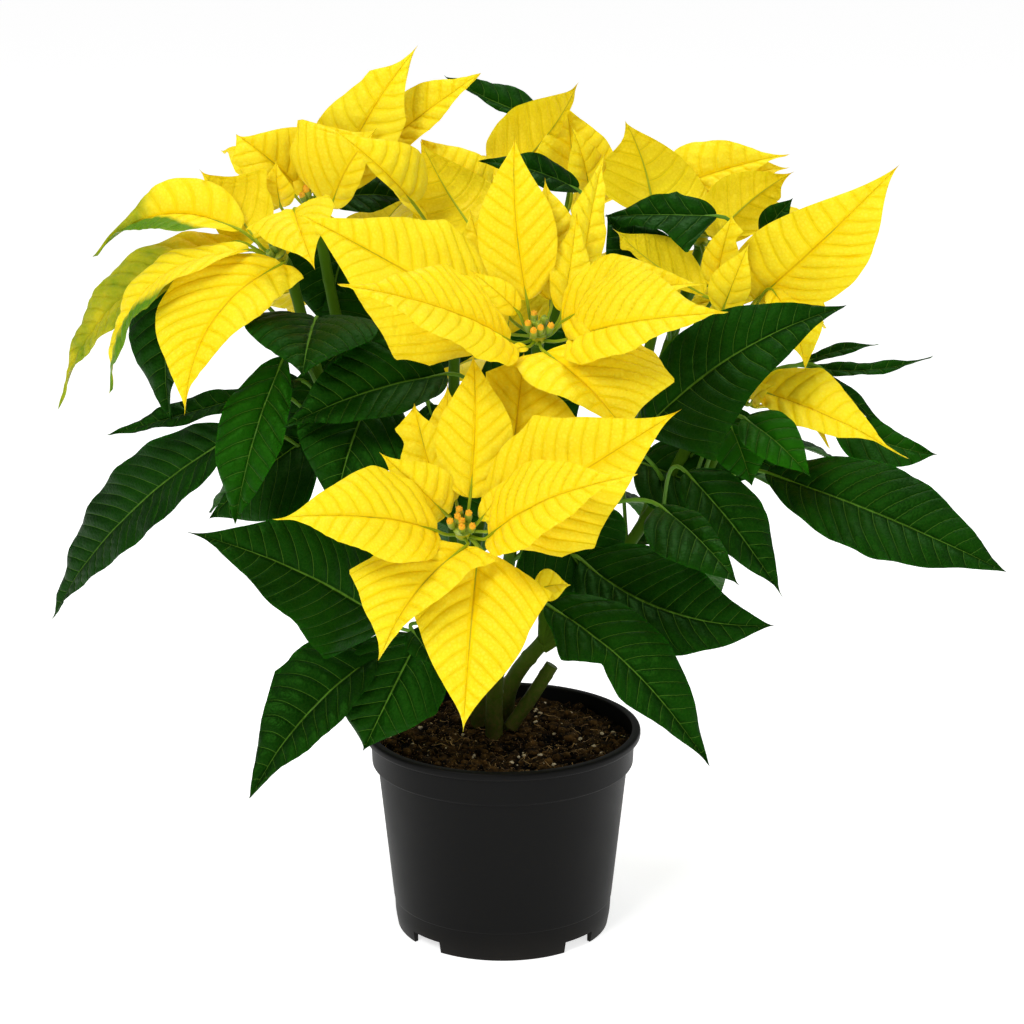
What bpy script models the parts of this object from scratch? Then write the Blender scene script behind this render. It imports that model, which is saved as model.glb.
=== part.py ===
"""Poinsettia with yellow bracts, growing in a black plastic nursery pot.

Metres, +Z up. The origin is on the floor under the pot's axis, and the front looks along -Y.
Three rooted cuttings stand in holes in the soil. Each is one fused green piece: main stem,
branches, leaf stalks and leaves. Each branch ends in a head: a whorl of bracts round a short hub,
with a cluster of cups on top. Blades are placed by their root and tip in a front view of the
plant, a pixel of a 1024 by 1024 picture each, and a depth in millimetres behind the pot's axis.
"""
import math
from types import SimpleNamespace

import bmesh
import bpy
from mathutils import Vector

MM = 0.001
GAP = 0.3 * MM

# The front view that places are read from.
VIEW_EYE = Vector((0.0055, -1.506, 0.659))
VIEW_TILT = math.radians(15.1)
VIEW_FOCAL = 2700.0
VIEW_CENTRE = 512.0

# Pot
POT_RADIUS = 81.4 * MM
POT_HEIGHT = 122.0 * MM
POT_FOOT_RADIUS = 63.4 * MM
POT_WALL = 1.5 * MM
RIM_BEAD = 4.5 * MM
RIM_STEP = 3.6 * MM
COLLAR_HEIGHT = 16.0 * MM
COLLAR_STEP = 4.0 * MM
FLOOR_HEIGHT = 8.0 * MM
NOTCH_COUNT = 4
NOTCH_WIDTH = 22.0 * MM
NOTCH_HEIGHT = 7.0 * MM
NOTCH_REACH = 20.0 * MM
DRAIN_RADIUS = 5.0 * MM
DRAIN_CIRCLE = 40.0 * MM
DRAIN_COUNT = 4
POT_STEPS = 28

# Soil
SOIL_TOP = 113.0 * MM
SOIL_LUMP = 1.6 * MM
SOIL_GAP = 0.4 * MM
HOLE_DEPTH = 36.0 * MM

# Stems and stalks
MAIN_RADIUS = 5.6 * MM
BRANCH_RADIUS = 3.3 * MM
LEAF_STALK_WIDTH = 2.6 * MM
BRACT_STALK_WIDTH = 2.2 * MM
BRACT_STALK_REACH = 11.0 * MM
HUB_RADIUS = 4.6 * MM
HUB_HEIGHT = 6.0 * MM
BRANCH_NECK = 9.0 * MM

# Blades
BLADE_THICKNESS = 0.8 * MM
STATIONS = (0.04, 0.20, 0.40, 0.62, 0.83)
SHORT_STATIONS = (0.05, 0.24, 0.50, 0.78)
SHORT_BLADE = 98.0 * MM
BRACT_OUTLINE = (0.70, 0.72, 1.70)
LEAF_OUTLINE = (0.74, 0.70, 1.30)
LONG_OUTLINE = (0.92, 0.80, 1.20)
TAILED_OUTLINE = (0.70, 0.72, 3.00)
TOOTH_REACH = 0.05
TOOTH_SPREAD = 0.012
FLAT_ANGLE = math.radians(0.3)

# Cups in the middle of a head
CUP_RADIUS = 2.2 * MM
CUP_HEIGHT = 7.6 * MM
CUP_SPREAD = 2.5 * MM
CUP_BASE_HEIGHT = 1.6 * MM
GOLDEN_ANGLE = math.radians(137.5)


def seen(pixel, depth):
    """Return the place that the front view shows at a pixel, depth mm behind the pot's axis."""
    across = (pixel[0] - VIEW_CENTRE) / VIEW_FOCAL
    rise = (VIEW_CENTRE - pixel[1]) / VIEW_FOCAL
    ray = Vector((
        across,
        math.cos(VIEW_TILT) + rise * math.sin(VIEW_TILT),
        rise * math.cos(VIEW_TILT) - math.sin(VIEW_TILT),
    ))
    return VIEW_EYE + ray * ((depth * MM - VIEW_EYE.y) / ray.y)


def place(x, y, z):
    """Return a place given in millimetres."""
    return Vector((x, y, z)) * MM


def blade(base, tip, depth, width, face=(0, 0), arch=6, bow=0, fold=0.15, teeth=(), under=False,
          outline=BRACT_OUTLINE, on=None, halves=(1, 1), sweep=(0, 0)):
    """Describe a bract or leaf by its root and tip in the front view.

    face leans the upper side from the viewer to the right and up. arch lifts the midrib, bow
    moves it sideways and fold raises the edges. teeth are (side, place along, size in mm).
    on is (branch, how far along it) for a leaf. halves are the widths of the two halves, and
    sweep is how far each is swept to the tip, as shares.
    """
    toward = Vector((face[0], -math.cos(VIEW_TILT), math.sin(VIEW_TILT) + face[1]))
    root, end = seen(base, depth[0]), seen(tip, depth[1])
    stations = STATIONS if (end - root).length > SHORT_BLADE else SHORT_STATIONS
    return SimpleNamespace(root=root, tip=end, toward=-toward if under else toward,
                           width=width * MM, arch=arch * MM, bow=bow * MM, fold=fold,
                           teeth=teeth, outline=outline, on=on, halves=halves, sweep=sweep,
                           stations=stations)


def leaf(*args, outline=LEAF_OUTLINE, **kwargs):
    """Describe a green leaf, which is rounder at its root than a bract."""
    return blade(*args, outline=outline, **kwargs)


def spoke(centre, way, turn, lift, start, length, width, arch=10, outline=BRACT_OUTLINE, on=None):
    """Describe a blade that leaves a stem that points along way, at a turn and a lift in degrees.

    The turn is from +X as seen from above, and the lift is from square to the stem.
    """
    turn, lift = math.radians(turn), math.radians(lift)
    way = Vector(way).normalized()
    level = Vector((math.cos(turn), math.sin(turn), 0))
    level = (level - way * way.dot(level)).normalized()
    along = level * math.cos(lift) + way * math.sin(lift)
    return SimpleNamespace(root=centre + along * start * MM,
                           tip=centre + along * (start + length) * MM,
                           toward=way, width=width * MM, arch=arch * MM, bow=0.0, fold=0.15,
                           teeth=(), outline=outline, on=on, halves=(1, 1), sweep=(0, 0),
                           stations=SHORT_STATIONS)


def blade_point(spec, side, t):
    """Return the middle of a blade's thickness, side from -1 to 1 and t from root to tip."""
    chord = spec.tip - spec.root
    along = chord.normalized()
    normal = (spec.toward - along * spec.toward.dot(along)).normalized()
    across = along.cross(normal)
    bend = (spec.root + spec.tip) / 2 + normal * 2 * spec.arch + across * 2 * spec.bow
    middle = (1 - t) ** 2 * spec.root + 2 * t * (1 - t) * bend + t ** 2 * spec.tip
    course = ((1 - t) * (bend - spec.root) + t * (spec.tip - bend)).normalized()
    across = (across - course * across.dot(course)).normalized()
    normal = across.cross(course)
    early, round_end, sharp_end = spec.outline
    swell = max(math.sin(math.pi * t ** early), 0.0) ** (round_end + (sharp_end - round_end) * t)
    hand = 0 if side > 0 else 1
    half = spec.width / 2 * swell * spec.halves[hand]
    for tooth_side, tooth_at, tooth_size in spec.teeth:
        if tooth_side * side > 0:
            reach = TOOTH_REACH + TOOTH_SPREAD * abs(tooth_size)
            half += tooth_size * MM * max(0.0, 1 - abs(t - tooth_at) / reach)
    away = abs(side) * half
    return middle + across * side * half + (normal * spec.fold + course * spec.sweep[hand]) * away


def new_object(name, mesh):
    """Make an object of a mesh in the parts' collection."""
    made = bpy.data.objects.new(name, mesh)
    parts.objects.link(made)
    return made


def mesh_of(name, shape):
    """Turn a bmesh into a mesh and free it."""
    mesh = bpy.data.meshes.new(name)
    shape.to_mesh(mesh)
    shape.free()
    return mesh


def as_mesh(made, weld=True):
    """Replace an object by the mesh that its modifiers or curve make, with any caps welded."""
    bpy.context.view_layer.update()
    evaluated = made.evaluated_get(bpy.context.evaluated_depsgraph_get())
    mesh = bpy.data.meshes.new_from_object(evaluated)
    shape = bmesh.new()
    shape.from_mesh(mesh)
    if weld:
        bmesh.ops.remove_doubles(shape, verts=shape.verts, dist=0.00001)
    bmesh.ops.triangulate(shape, faces=shape.faces)
    shape.to_mesh(mesh)
    shape.free()
    name = made.name
    solid = new_object(name, mesh)
    solid.matrix_world = made.matrix_world
    bpy.data.objects.remove(made)
    solid.name = name
    return solid


def stalk_edges(spec, middle, course, width):
    """Return the places on the left and right edge of a flat stalk."""
    course = course.normalized()
    normal = (spec.toward - course * spec.toward.dot(course)).normalized()
    across = course.cross(normal) * width / 2
    return middle - across, middle + across


def blade_solid(spec, start, shoulder, stalk_width):
    """Make a blade with its stalk: two strips beside the midrib, thickened.

    The stalk runs from start by way of shoulder to the blade's root.
    """
    shape = bmesh.new()
    columns = []
    for side in (-1, 0, 1):
        stations = list(spec.stations)
        for tooth_side, tooth_at, tooth_size in spec.teeth:
            if tooth_side == side:
                near = min(range(1, len(stations)), key=lambda i: abs(stations[i] - tooth_at))
                stations[near] = tooth_at
        columns.append([shape.verts.new(blade_point(spec, side, t)) for t in stations])
    tip = shape.verts.new(blade_point(spec, 0, 1.0))
    for left, right in ((columns[0], columns[1]), (columns[1], columns[2])):
        shape.faces.new((tip, right[-1], left[-1]))
        for i in range(len(left) - 1):
            shape.faces.new((left[i], left[i + 1], right[i + 1]))
            shape.faces.new((left[i], right[i + 1], right[i]))
    low, high = [
        [shape.verts.new(edge) for edge in stalk_edges(spec, middle, course, stalk_width)]
        for middle, course in ((start, shoulder - start), (shoulder, spec.root - start))
    ]
    roots = [column[0] for column in columns]
    for corners in ((low[0], high[0], high[1]), (low[0], high[1], low[1]),
                    (high[0], roots[0], roots[1]), (high[0], roots[1], high[1]),
                    (high[1], roots[1], roots[2])):
        shape.faces.new(corners)
    made = new_object("blade", mesh_of("blade", shape))
    thicken = made.modifiers.new("thickness", "SOLIDIFY")
    thicken.thickness = BLADE_THICKNESS
    thicken.offset = 0.0
    return as_mesh(made)


def tube(points, radius, end_radius, roundness):
    """Make a tapered stem or stalk with filled ends."""
    curve = bpy.data.curves.new("stem", "CURVE")
    curve.dimensions = "3D"
    curve.bevel_depth = radius
    curve.bevel_resolution = roundness
    curve.use_fill_caps = True
    spline = curve.splines.new("POLY")
    spline.points.add(len(points) - 1)
    for i, point in enumerate(points):
        spline.points[i].co = (*point, 1.0)
        spline.points[i].radius = 1 + (end_radius / radius - 1) * i / (len(points) - 1)
    return as_mesh(new_object("stem", curve))


def bend_points(start, middle, end, count):
    """Return points along a bend that leaves start and reaches end by way of middle."""
    points = []
    for i in range(count):
        t = i / (count - 1)
        points.append((1 - t) ** 2 * start + 2 * t * (1 - t) * middle + t ** 2 * end)
    return points


def rod(start, end, radius, sides):
    """Make a straight round rod between two places."""
    shape = bmesh.new()
    bmesh.ops.create_cone(shape, cap_ends=True, segments=sides, radius1=radius, radius2=radius,
                          depth=(end - start).length)
    made = new_object("rod", mesh_of("rod", shape))
    made.rotation_mode = "QUATERNION"
    made.rotation_quaternion = (end - start).to_track_quat("Z", "Y")
    made.location = (start + end) / 2
    return as_mesh(made)


def fuse(name, pieces, colour, roughness):
    """Join pieces that run into each other in one named solid."""
    others = bpy.data.collections.new(name + " pieces")
    bpy.context.scene.collection.children.link(others)
    for piece in pieces[1:]:
        parts.objects.unlink(piece)
        others.objects.link(piece)
    join = pieces[0].modifiers.new("join", "BOOLEAN")
    join.operation = "UNION"
    join.solver = "MANIFOLD"
    join.operand_type = "COLLECTION"
    join.collection = others
    solid = as_mesh(pieces[0], weld=False)
    merge_flat(solid.data)
    for piece in list(others.objects):
        bpy.data.objects.remove(piece)
    bpy.data.collections.remove(others)
    solid.name = name
    paint(solid, colour, roughness)
    return solid


def merge_flat(mesh):
    """Merge triangles that lie in one plane, which a union leaves in small scraps."""
    shape = bmesh.new()
    shape.from_mesh(mesh)
    bmesh.ops.dissolve_limit(shape, angle_limit=FLAT_ANGLE, verts=shape.verts, edges=shape.edges)
    bmesh.ops.triangulate(shape, faces=shape.faces)
    shape.to_mesh(mesh)
    shape.free()


def paint(made, colour, roughness):
    """Give an object a plain material of its own."""
    material = bpy.data.materials.new(made.name)
    material.use_nodes = True
    shader = material.node_tree.nodes["Principled BSDF"]
    shader.inputs["Base Color"].default_value = (*colour, 1.0)
    shader.inputs["Roughness"].default_value = roughness
    shader.inputs["Metallic"].default_value = 0.0
    made.data.materials.clear()
    made.data.materials.append(material)


def turned(name, profile, steps):
    """Turn a closed profile of (radius, height) points round the pot's axis."""
    shape = bmesh.new()
    corners = [shape.verts.new((radius, 0, height)) for radius, height in profile]
    for i, corner in enumerate(corners):
        if i + 1 < len(corners) or profile[0][0] > 0:
            shape.edges.new((corner, corners[(i + 1) % len(corners)]))
    made = new_object(name, mesh_of(name, shape))
    screw = made.modifiers.new("turn", "SCREW")
    screw.steps = steps
    screw.render_steps = steps
    screw.use_merge_vertices = True
    screw.merge_threshold = 0.00001
    return as_mesh(made)


def cut(made, cutter):
    """Cut one solid out of another."""
    slot = made.modifiers.new("cut", "BOOLEAN")
    slot.operation = "DIFFERENCE"
    slot.object = cutter
    cutters.objects.link(cutter)
    parts.objects.unlink(cutter)
    cutter.hide_render = True
    cutter.display_type = "WIRE"


def pot_inside():
    """Return the inside of the pot's wall from its floor up, as (radius, height) points."""
    collar_low = POT_HEIGHT - RIM_BEAD - COLLAR_HEIGHT
    collar_inside = POT_RADIUS - RIM_STEP - POT_WALL
    return [
        (POT_FOOT_RADIUS + 1.0 * MM - POT_WALL, FLOOR_HEIGHT + POT_WALL),
        (collar_inside - COLLAR_STEP, collar_low - 1.0 * MM),
        (collar_inside, collar_low + 2.0 * MM),
        (collar_inside, POT_HEIGHT),
    ]


def make_pot():
    """Turn the pot's wall and floor, then cut the foot's notches and the drain holes."""
    bead_low = POT_HEIGHT - RIM_BEAD
    collar_low = bead_low - COLLAR_HEIGHT
    collar_radius = POT_RADIUS - RIM_STEP
    body_radius = collar_radius - COLLAR_STEP
    inner_foot = POT_FOOT_RADIUS - 3.0 * MM
    profile = [(0.0, FLOOR_HEIGHT)] + pot_inside() + [
        (POT_RADIUS - 1.2 * MM, POT_HEIGHT),
        (POT_RADIUS, POT_HEIGHT - 1.4 * MM),
        (POT_RADIUS, bead_low + 0.8 * MM),
        (collar_radius, bead_low - 0.6 * MM),
        (collar_radius - 0.6 * MM, collar_low + 1.5 * MM),
        (body_radius, collar_low - 1.5 * MM),
        (POT_FOOT_RADIUS + 1.0 * MM, FLOOR_HEIGHT + 1.0 * MM),
        (POT_FOOT_RADIUS - 0.4 * MM, 0.0),
        (inner_foot, 0.0),
        (inner_foot, FLOOR_HEIGHT - POT_WALL),
        (0.0, FLOOR_HEIGHT - POT_WALL),
    ]
    pot = turned("pot", profile, POT_STEPS)
    for i in range(NOTCH_COUNT):
        turn = 2 * math.pi * (i + 0.5) / NOTCH_COUNT
        bpy.ops.mesh.primitive_cube_add(size=1)
        notch = bpy.context.object
        notch.scale = (NOTCH_REACH, NOTCH_WIDTH, 2 * NOTCH_HEIGHT)
        notch.rotation_euler = (0, 0, turn)
        notch.location = Vector((math.cos(turn), math.sin(turn), 0)) * POT_FOOT_RADIUS
        bpy.context.collection.objects.unlink(notch)
        parts.objects.link(notch)
        cut(pot, notch)
    for i in range(DRAIN_COUNT):
        turn = 2 * math.pi * i / DRAIN_COUNT
        middle = Vector((math.cos(turn), math.sin(turn), 0)) * DRAIN_CIRCLE
        cut(pot, rod(middle, middle + Vector((0, 0, 2 * FLOOR_HEIGHT)), DRAIN_RADIUS, 8))
    pot.name = "pot"
    paint(pot, BLACK, 0.45)
    pot.data.shade_smooth()
    pot.data.set_sharp_from_angle(angle=math.radians(35))
    return pot


def make_soil(stem_feet):
    """Fill the pot with soil, with a lumpy top and a hole for each main stem."""
    wall = pot_inside()
    top_radius = wall[-1][0] - SOIL_GAP
    profile = [(0.0, SOIL_TOP)]
    for i in range(1, 4):
        profile.append((top_radius * i / 3, SOIL_TOP))
    profile += [(radius - SOIL_GAP, height) for radius, height in reversed(wall[1:3])]
    profile.append((wall[0][0] - SOIL_GAP, wall[0][1] + SOIL_GAP))
    profile.append((0.0, FLOOR_HEIGHT + GAP))
    soil = turned("soil", profile, POT_STEPS)
    for vertex in soil.data.vertices:
        x, y, z = vertex.co
        if z > SOIL_TOP - 1.0 * MM and math.hypot(x, y) < top_radius - 1.0 * MM:
            wave = math.sin(x * 210 + 1.3) * math.cos(y * 170) + math.sin((x - y) * 390)
            vertex.co.z += SOIL_LUMP * 0.5 * wave
    for foot in stem_feet:
        low = Vector((foot.x, foot.y, SOIL_TOP - HOLE_DEPTH - GAP))
        high = Vector((foot.x, foot.y, SOIL_TOP + 20 * MM))
        cut(soil, rod(low, high, MAIN_RADIUS + 0.9 * MM, 10))
    soil.name = "soil"
    paint(soil, BROWN, 0.95)
    return soil


# Main stems: foot in the soil, then the fork, in millimetres.
MAIN_STEMS = {
    "front": (place(-5, 4, 0), place(-3, -18, 166)),
    "left": (place(-15, 21, 0), place(-27, 12, 168)),
    "right": (place(3, 21, 0), place(24, 8, 172)),
}

# Heads: main stem, hub, the way the hub points, and the bend of the branch.
HEADS = {
    "A": ("front", seen((538, 337), -70), (0.05, -0.45, 0.9), place(6, -46, 265)),
    "B": ("front", seen((463, 532), -130), (-0.05, -0.6, 0.8), place(-6, -84, 190)),
    "C": ("left", seen((312, 207), 8), (-0.25, -0.25, 0.9), place(-88, 12, 300)),
    "J": ("left", seen((280, 258), -36), (-0.4, -0.5, 0.8), place(-92, -18, 270)),
    "E": ("left", seen((455, 246), 6), (-0.05, -0.25, 0.95), place(-30, 14, 290)),
    "D": ("right", seen((556, 222), 52), (0.0, -0.1, 1.0), place(30, 44, 300)),
    "F": ("right", seen((700, 240), 26), (0.15, -0.15, 0.95), place(82, 24, 290)),
    "G": ("right", seen((736, 332), -16), (0.35, -0.25, 0.9), place(96, -6, 250)),
    "H": ("right", seen((742, 397), -15), (0.4, -0.4, 0.8), place(100, -20, 220)),
    "K": ("left", place(-88, 96, 366), (-0.5, 0.6, 0.8), place(-66, 54, 270)),
    "L": ("left", place(4, 124, 322), (0.0, 0.9, 0.8), place(-12, 76, 240)),
    "M": ("right", place(98, 98, 358), (0.5, 0.6, 0.8), place(74, 54, 270)),
}

# Cups in a head, which is 3 where nothing is said.
CUP_COUNTS = {"A": 8, "B": 7, "C": 4, "J": 4}

BRACTS = {
    "A": (
        blade((527, 300), (515, 133), (-66, -42), 43, arch=8, bow=-3),
        blade((510, 341), (337, 284), (-84, -150), 54, face=(-0.1, 0.75), arch=12, bow=-5,
              teeth=((1, 0.42, 3),), halves=(1, 1.15)),
        blade((503, 331), (294, 211), (-64, -78), 74, face=(-0.1, 0.3), arch=8,
              teeth=((1, 0.45, 3), (-1, 0.37, 10), (-1, 0.235, 5)), halves=(0.86, 1)),
        blade((570, 338), (729, 312), (-86, -140), 60, face=(0.1, 0.6), arch=14, bow=7,
              halves=(0.8, 1.2)),
        blade((562, 322), (706, 283), (-74, -108), 47, face=(0.1, 0.5), arch=12),
        blade((545, 352), (632, 438), (-86, -132), 64, face=(0.1, 0.55), arch=7,
              teeth=((-1, 0.62, 8), (1, 0.08, 9)), halves=(0.72, 1.2), sweep=(-0.6, 0.55)),
        blade((552, 300), (545, 177), (-56, -26), 36, face=(0.2, 0), arch=6),
        blade((562, 312), (577, 212), (-67, -50), 22, face=(0.2, 0), arch=4),
        blade((580, 303), (606, 151), (-52, -10), 28, face=(0.5, 0), arch=5, bow=-5,
              halves=(0.7, 1)),
        blade((518, 312), (470, 270), (-73, -78), 16, face=(-0.2, 0.4), arch=3),
        blade((506, 312), (469, 208), (-55, -40), 38, face=(-0.3, 0.1), arch=6),
        blade((527, 347), (508, 352), (-80, -90), 7, face=(0, 0.5), arch=1),
    ),
    "B": (
        blade((470, 498), (473, 352), (-124, -96), 41, arch=8, bow=2),
        blade((437, 531), (272, 519), (-138, -182), 55, face=(-0.1, 0.55), arch=12, bow=-1),
        blade((447, 515), (379, 452), (-122, -136), 32, face=(-0.2, 0.3), arch=5),
        blade((488, 537), (638, 474), (-142, -196), 48, face=(0.1, 0.6), arch=12, bow=1),
        blade((492, 530), (682, 409), (-126, -156), 69, face=(0.1, 0.15), arch=6,
              teeth=((1, 0.39, 8), (1, 0.25, 5), (-1, 0.47, 5)), halves=(0.86, 1)),
        blade((466, 546), (378, 661), (-142, -182), 60, face=(-0.2, 0.5), arch=9, bow=3,
              teeth=((1, 0.46, 6), (-1, 0.11, 9)), halves=(1, 0.54), sweep=(0.4, -0.6)),
        blade((478, 552), (463, 733), (-132, -166), 62, face=(0, 0.4), arch=11,
              teeth=((1, 0.39, 3), (-1, 0.225, 13)), halves=(0.88, 1)),
        blade((455, 495), (447, 382), (-118, -84), 28, face=(-0.2, 0), arch=5),
        blade((445, 508), (414, 403), (-118, -96), 38, face=(-0.3, 0.1), arch=6,
              teeth=((-1, 0.8, 9),), halves=(1, 0.8)),
        blade((480, 520), (519, 470), (-130, -136), 12, face=(0.2, 0.2), arch=2),
        blade((508, 490), (524, 352), (-108, -76), 60, face=(0.1, 0.2), arch=5,
              teeth=((-1, 0.8, 11),), halves=(1.2, 1)),
        blade((535, 590), (571, 585), (-118, -116), 19, face=(0.3, 0.6), arch=3),
    ),
    "C": (
        blade((331, 207), (377, 128), (-6, -6), 60, face=(-0.3, 0.2), arch=7,
              teeth=((-1, 0.62, 14),), halves=(0.42, 1.15)),
        blade((333, 185), (418, 45), (16, 12), 56, face=(-0.2, 0.1), arch=9,
              teeth=((-1, 0.76, 4), (1, 0.6, 2)), halves=(0.9, 0.82), sweep=(0, -0.3)),
        blade((345, 182), (481, 73), (26, 22), 37, face=(-0.1, 0.4), arch=6,
              outline=LONG_OUTLINE, halves=(0.65, 1)),
        blade((300, 190), (236, 134), (22, 14), 54, face=(-0.2, 0.4), arch=8,
              teeth=((-1, 0.84, 10),)),
        blade((281, 207), (276, 160), (-4, -10), 20, face=(-0.2, 0.1), arch=3),
        blade((294, 209), (315, 270), (-28, -78), 44, face=(-0.3, 0.7), arch=8,
              teeth=((1, 0.24, 8),)),
    ),
    "J": (
        blade((256, 240), (199, 169), (-34, -26), 50, face=(-0.4, 0.3), arch=7, under=True,
              teeth=((-1, 0.55, 10),), halves=(0.6, 0.85)),
        blade((240, 230), (92, 257), (-34, -26), 44, face=(-0.1, 0.8), arch=12, bow=11, fold=0.5,
              outline=TAILED_OUTLINE, halves=(0.82, 0.9), sweep=(-0.4, 0)),
        blade((234, 242), (58, 410), (-36, -30), 40, face=(-1.6, 0.3), arch=20, bow=7.5,
              halves=(1.05, 1.15)),
        blade((250, 250), (109, 394), (-48, -66), 42, face=(-1.8, 0.6), arch=26, bow=3.5,
              teeth=((-1, 0.79, 9),), halves=(0.75, 1), sweep=(0, 0.4)),
        blade((282, 264), (184, 416), (-50, -98), 62, face=(-0.1, 0.6), arch=9, bow=12,
              teeth=((-1, 0.06, 7),), halves=(1, 0.72), sweep=(0.3, -0.5)),
    ),
    "E": (
        blade((470, 226), (420, 140), (-6, 6), 54, face=(0.2, 0), arch=7, under=True,
              sweep=(-0.4, -0.4)),
        blade((462, 234), (421, 139), (20, 30), 52, face=(0, 0.3), arch=6,
              outline=LONG_OUTLINE, halves=(1.12, 0.4)),
        blade((413, 203), (334, 129), (-22, -42), 34, face=(-0.2, 0.4), arch=7,
              halves=(1.25, 0.3), sweep=(-0.25, 0)),
    ),
    "D": (
        blade((503, 182), (579, 82), (44, 30), 54, face=(-0.2, 0.2), arch=12, under=True,
              halves=(1.14, 0.2), sweep=(-0.2, 0)),
        blade((572, 190), (566, 103), (56, 58), 48, face=(0.2, 0.1), arch=6),
        blade((590, 195), (571, 125), (40, 36), 24, face=(0.4, 0), arch=4),
    ),
    "F": (
        blade((653, 212), (625, 121), (10, 14), 60, face=(0.2, 0), arch=8, bow=-5, under=True,
              teeth=((1, 0.72, 7),), halves=(0.87, 1.13), sweep=(0, -0.6)),
        blade((672, 188), (790, 154), (48, 54), 42, face=(0, 0.4), arch=5,
              halves=(0.5, 1), sweep=(0, -0.45)),
        blade((700, 190), (790, 167), (58, 62), 24, face=(0, 0.4), arch=5),
        blade((713, 240), (795, 171), (12, 10), 50, face=(0.2, 0.2), arch=6, bow=3.5,
              under=True, teeth=((-1, 0.74, 3),), halves=(0.84, 0.6)),
        blade((704, 296), (612, 228), (-14, -26), 34, face=(0, 0.3), arch=7, under=True,
              teeth=((1, 0.82, 5),), halves=(0.22, 1.2)),
        blade((716, 288), (733, 213), (-18, -22), 24, face=(-0.3, 0.2), arch=4,
              teeth=((1, 0.82, 7),), halves=(1, 0.85)),
    ),
    "G": (
        blade((756, 300), (901, 163), (-8, -24), 60, face=(0.1, 0.2), arch=10, bow=2,
              halves=(0.96, 0.95), sweep=(0.25, -0.6)),
        blade((772, 290), (806, 372), (-18, -42), 56, face=(0.6, 0.2), arch=6,
              halves=(0.5, 0.86), sweep=(0, -0.2)),
        blade((722, 312), (749, 243), (-34, -36), 25, face=(-0.1, 0), arch=4,
              halves=(0.85, 1)),
    ),
    "H": (
        blade((757, 390), (909, 459), (-30, -64), 48, face=(0.1, 0.7), arch=9, bow=2,
              outline=TAILED_OUTLINE, halves=(0.66, 1), sweep=(-0.1, -0.35)),
        blade((752, 402), (776, 384), (-32, -46), 13, face=(-0.2, 0.4), arch=3),
    ),
    "K": (),
    "L": (),
    "M": (),
}

# Heads' bracts at the back, by rule: first turn, step, count, lift, length and width.
BACK_BRACTS = {
    "C": (96, 40, 2, 10, 70, 42),
    "E": (88, 48, 2, 20, 70, 42),
    "D": (26, 136, 2, 8, 80, 46),
    "F": (14, 48, 2, 6, 80, 46),
    "G": (36, 44, 1, 2, 60, 38),
    "H": (-38, 30, 1, 14, 50, 30),
    "K": (66, 62, 5, 6, 82, 54),
    "L": (-20, 72, 5, 4, 84, 56),
    "M": (-60, 46, 5, 6, 82, 54),
}

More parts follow.
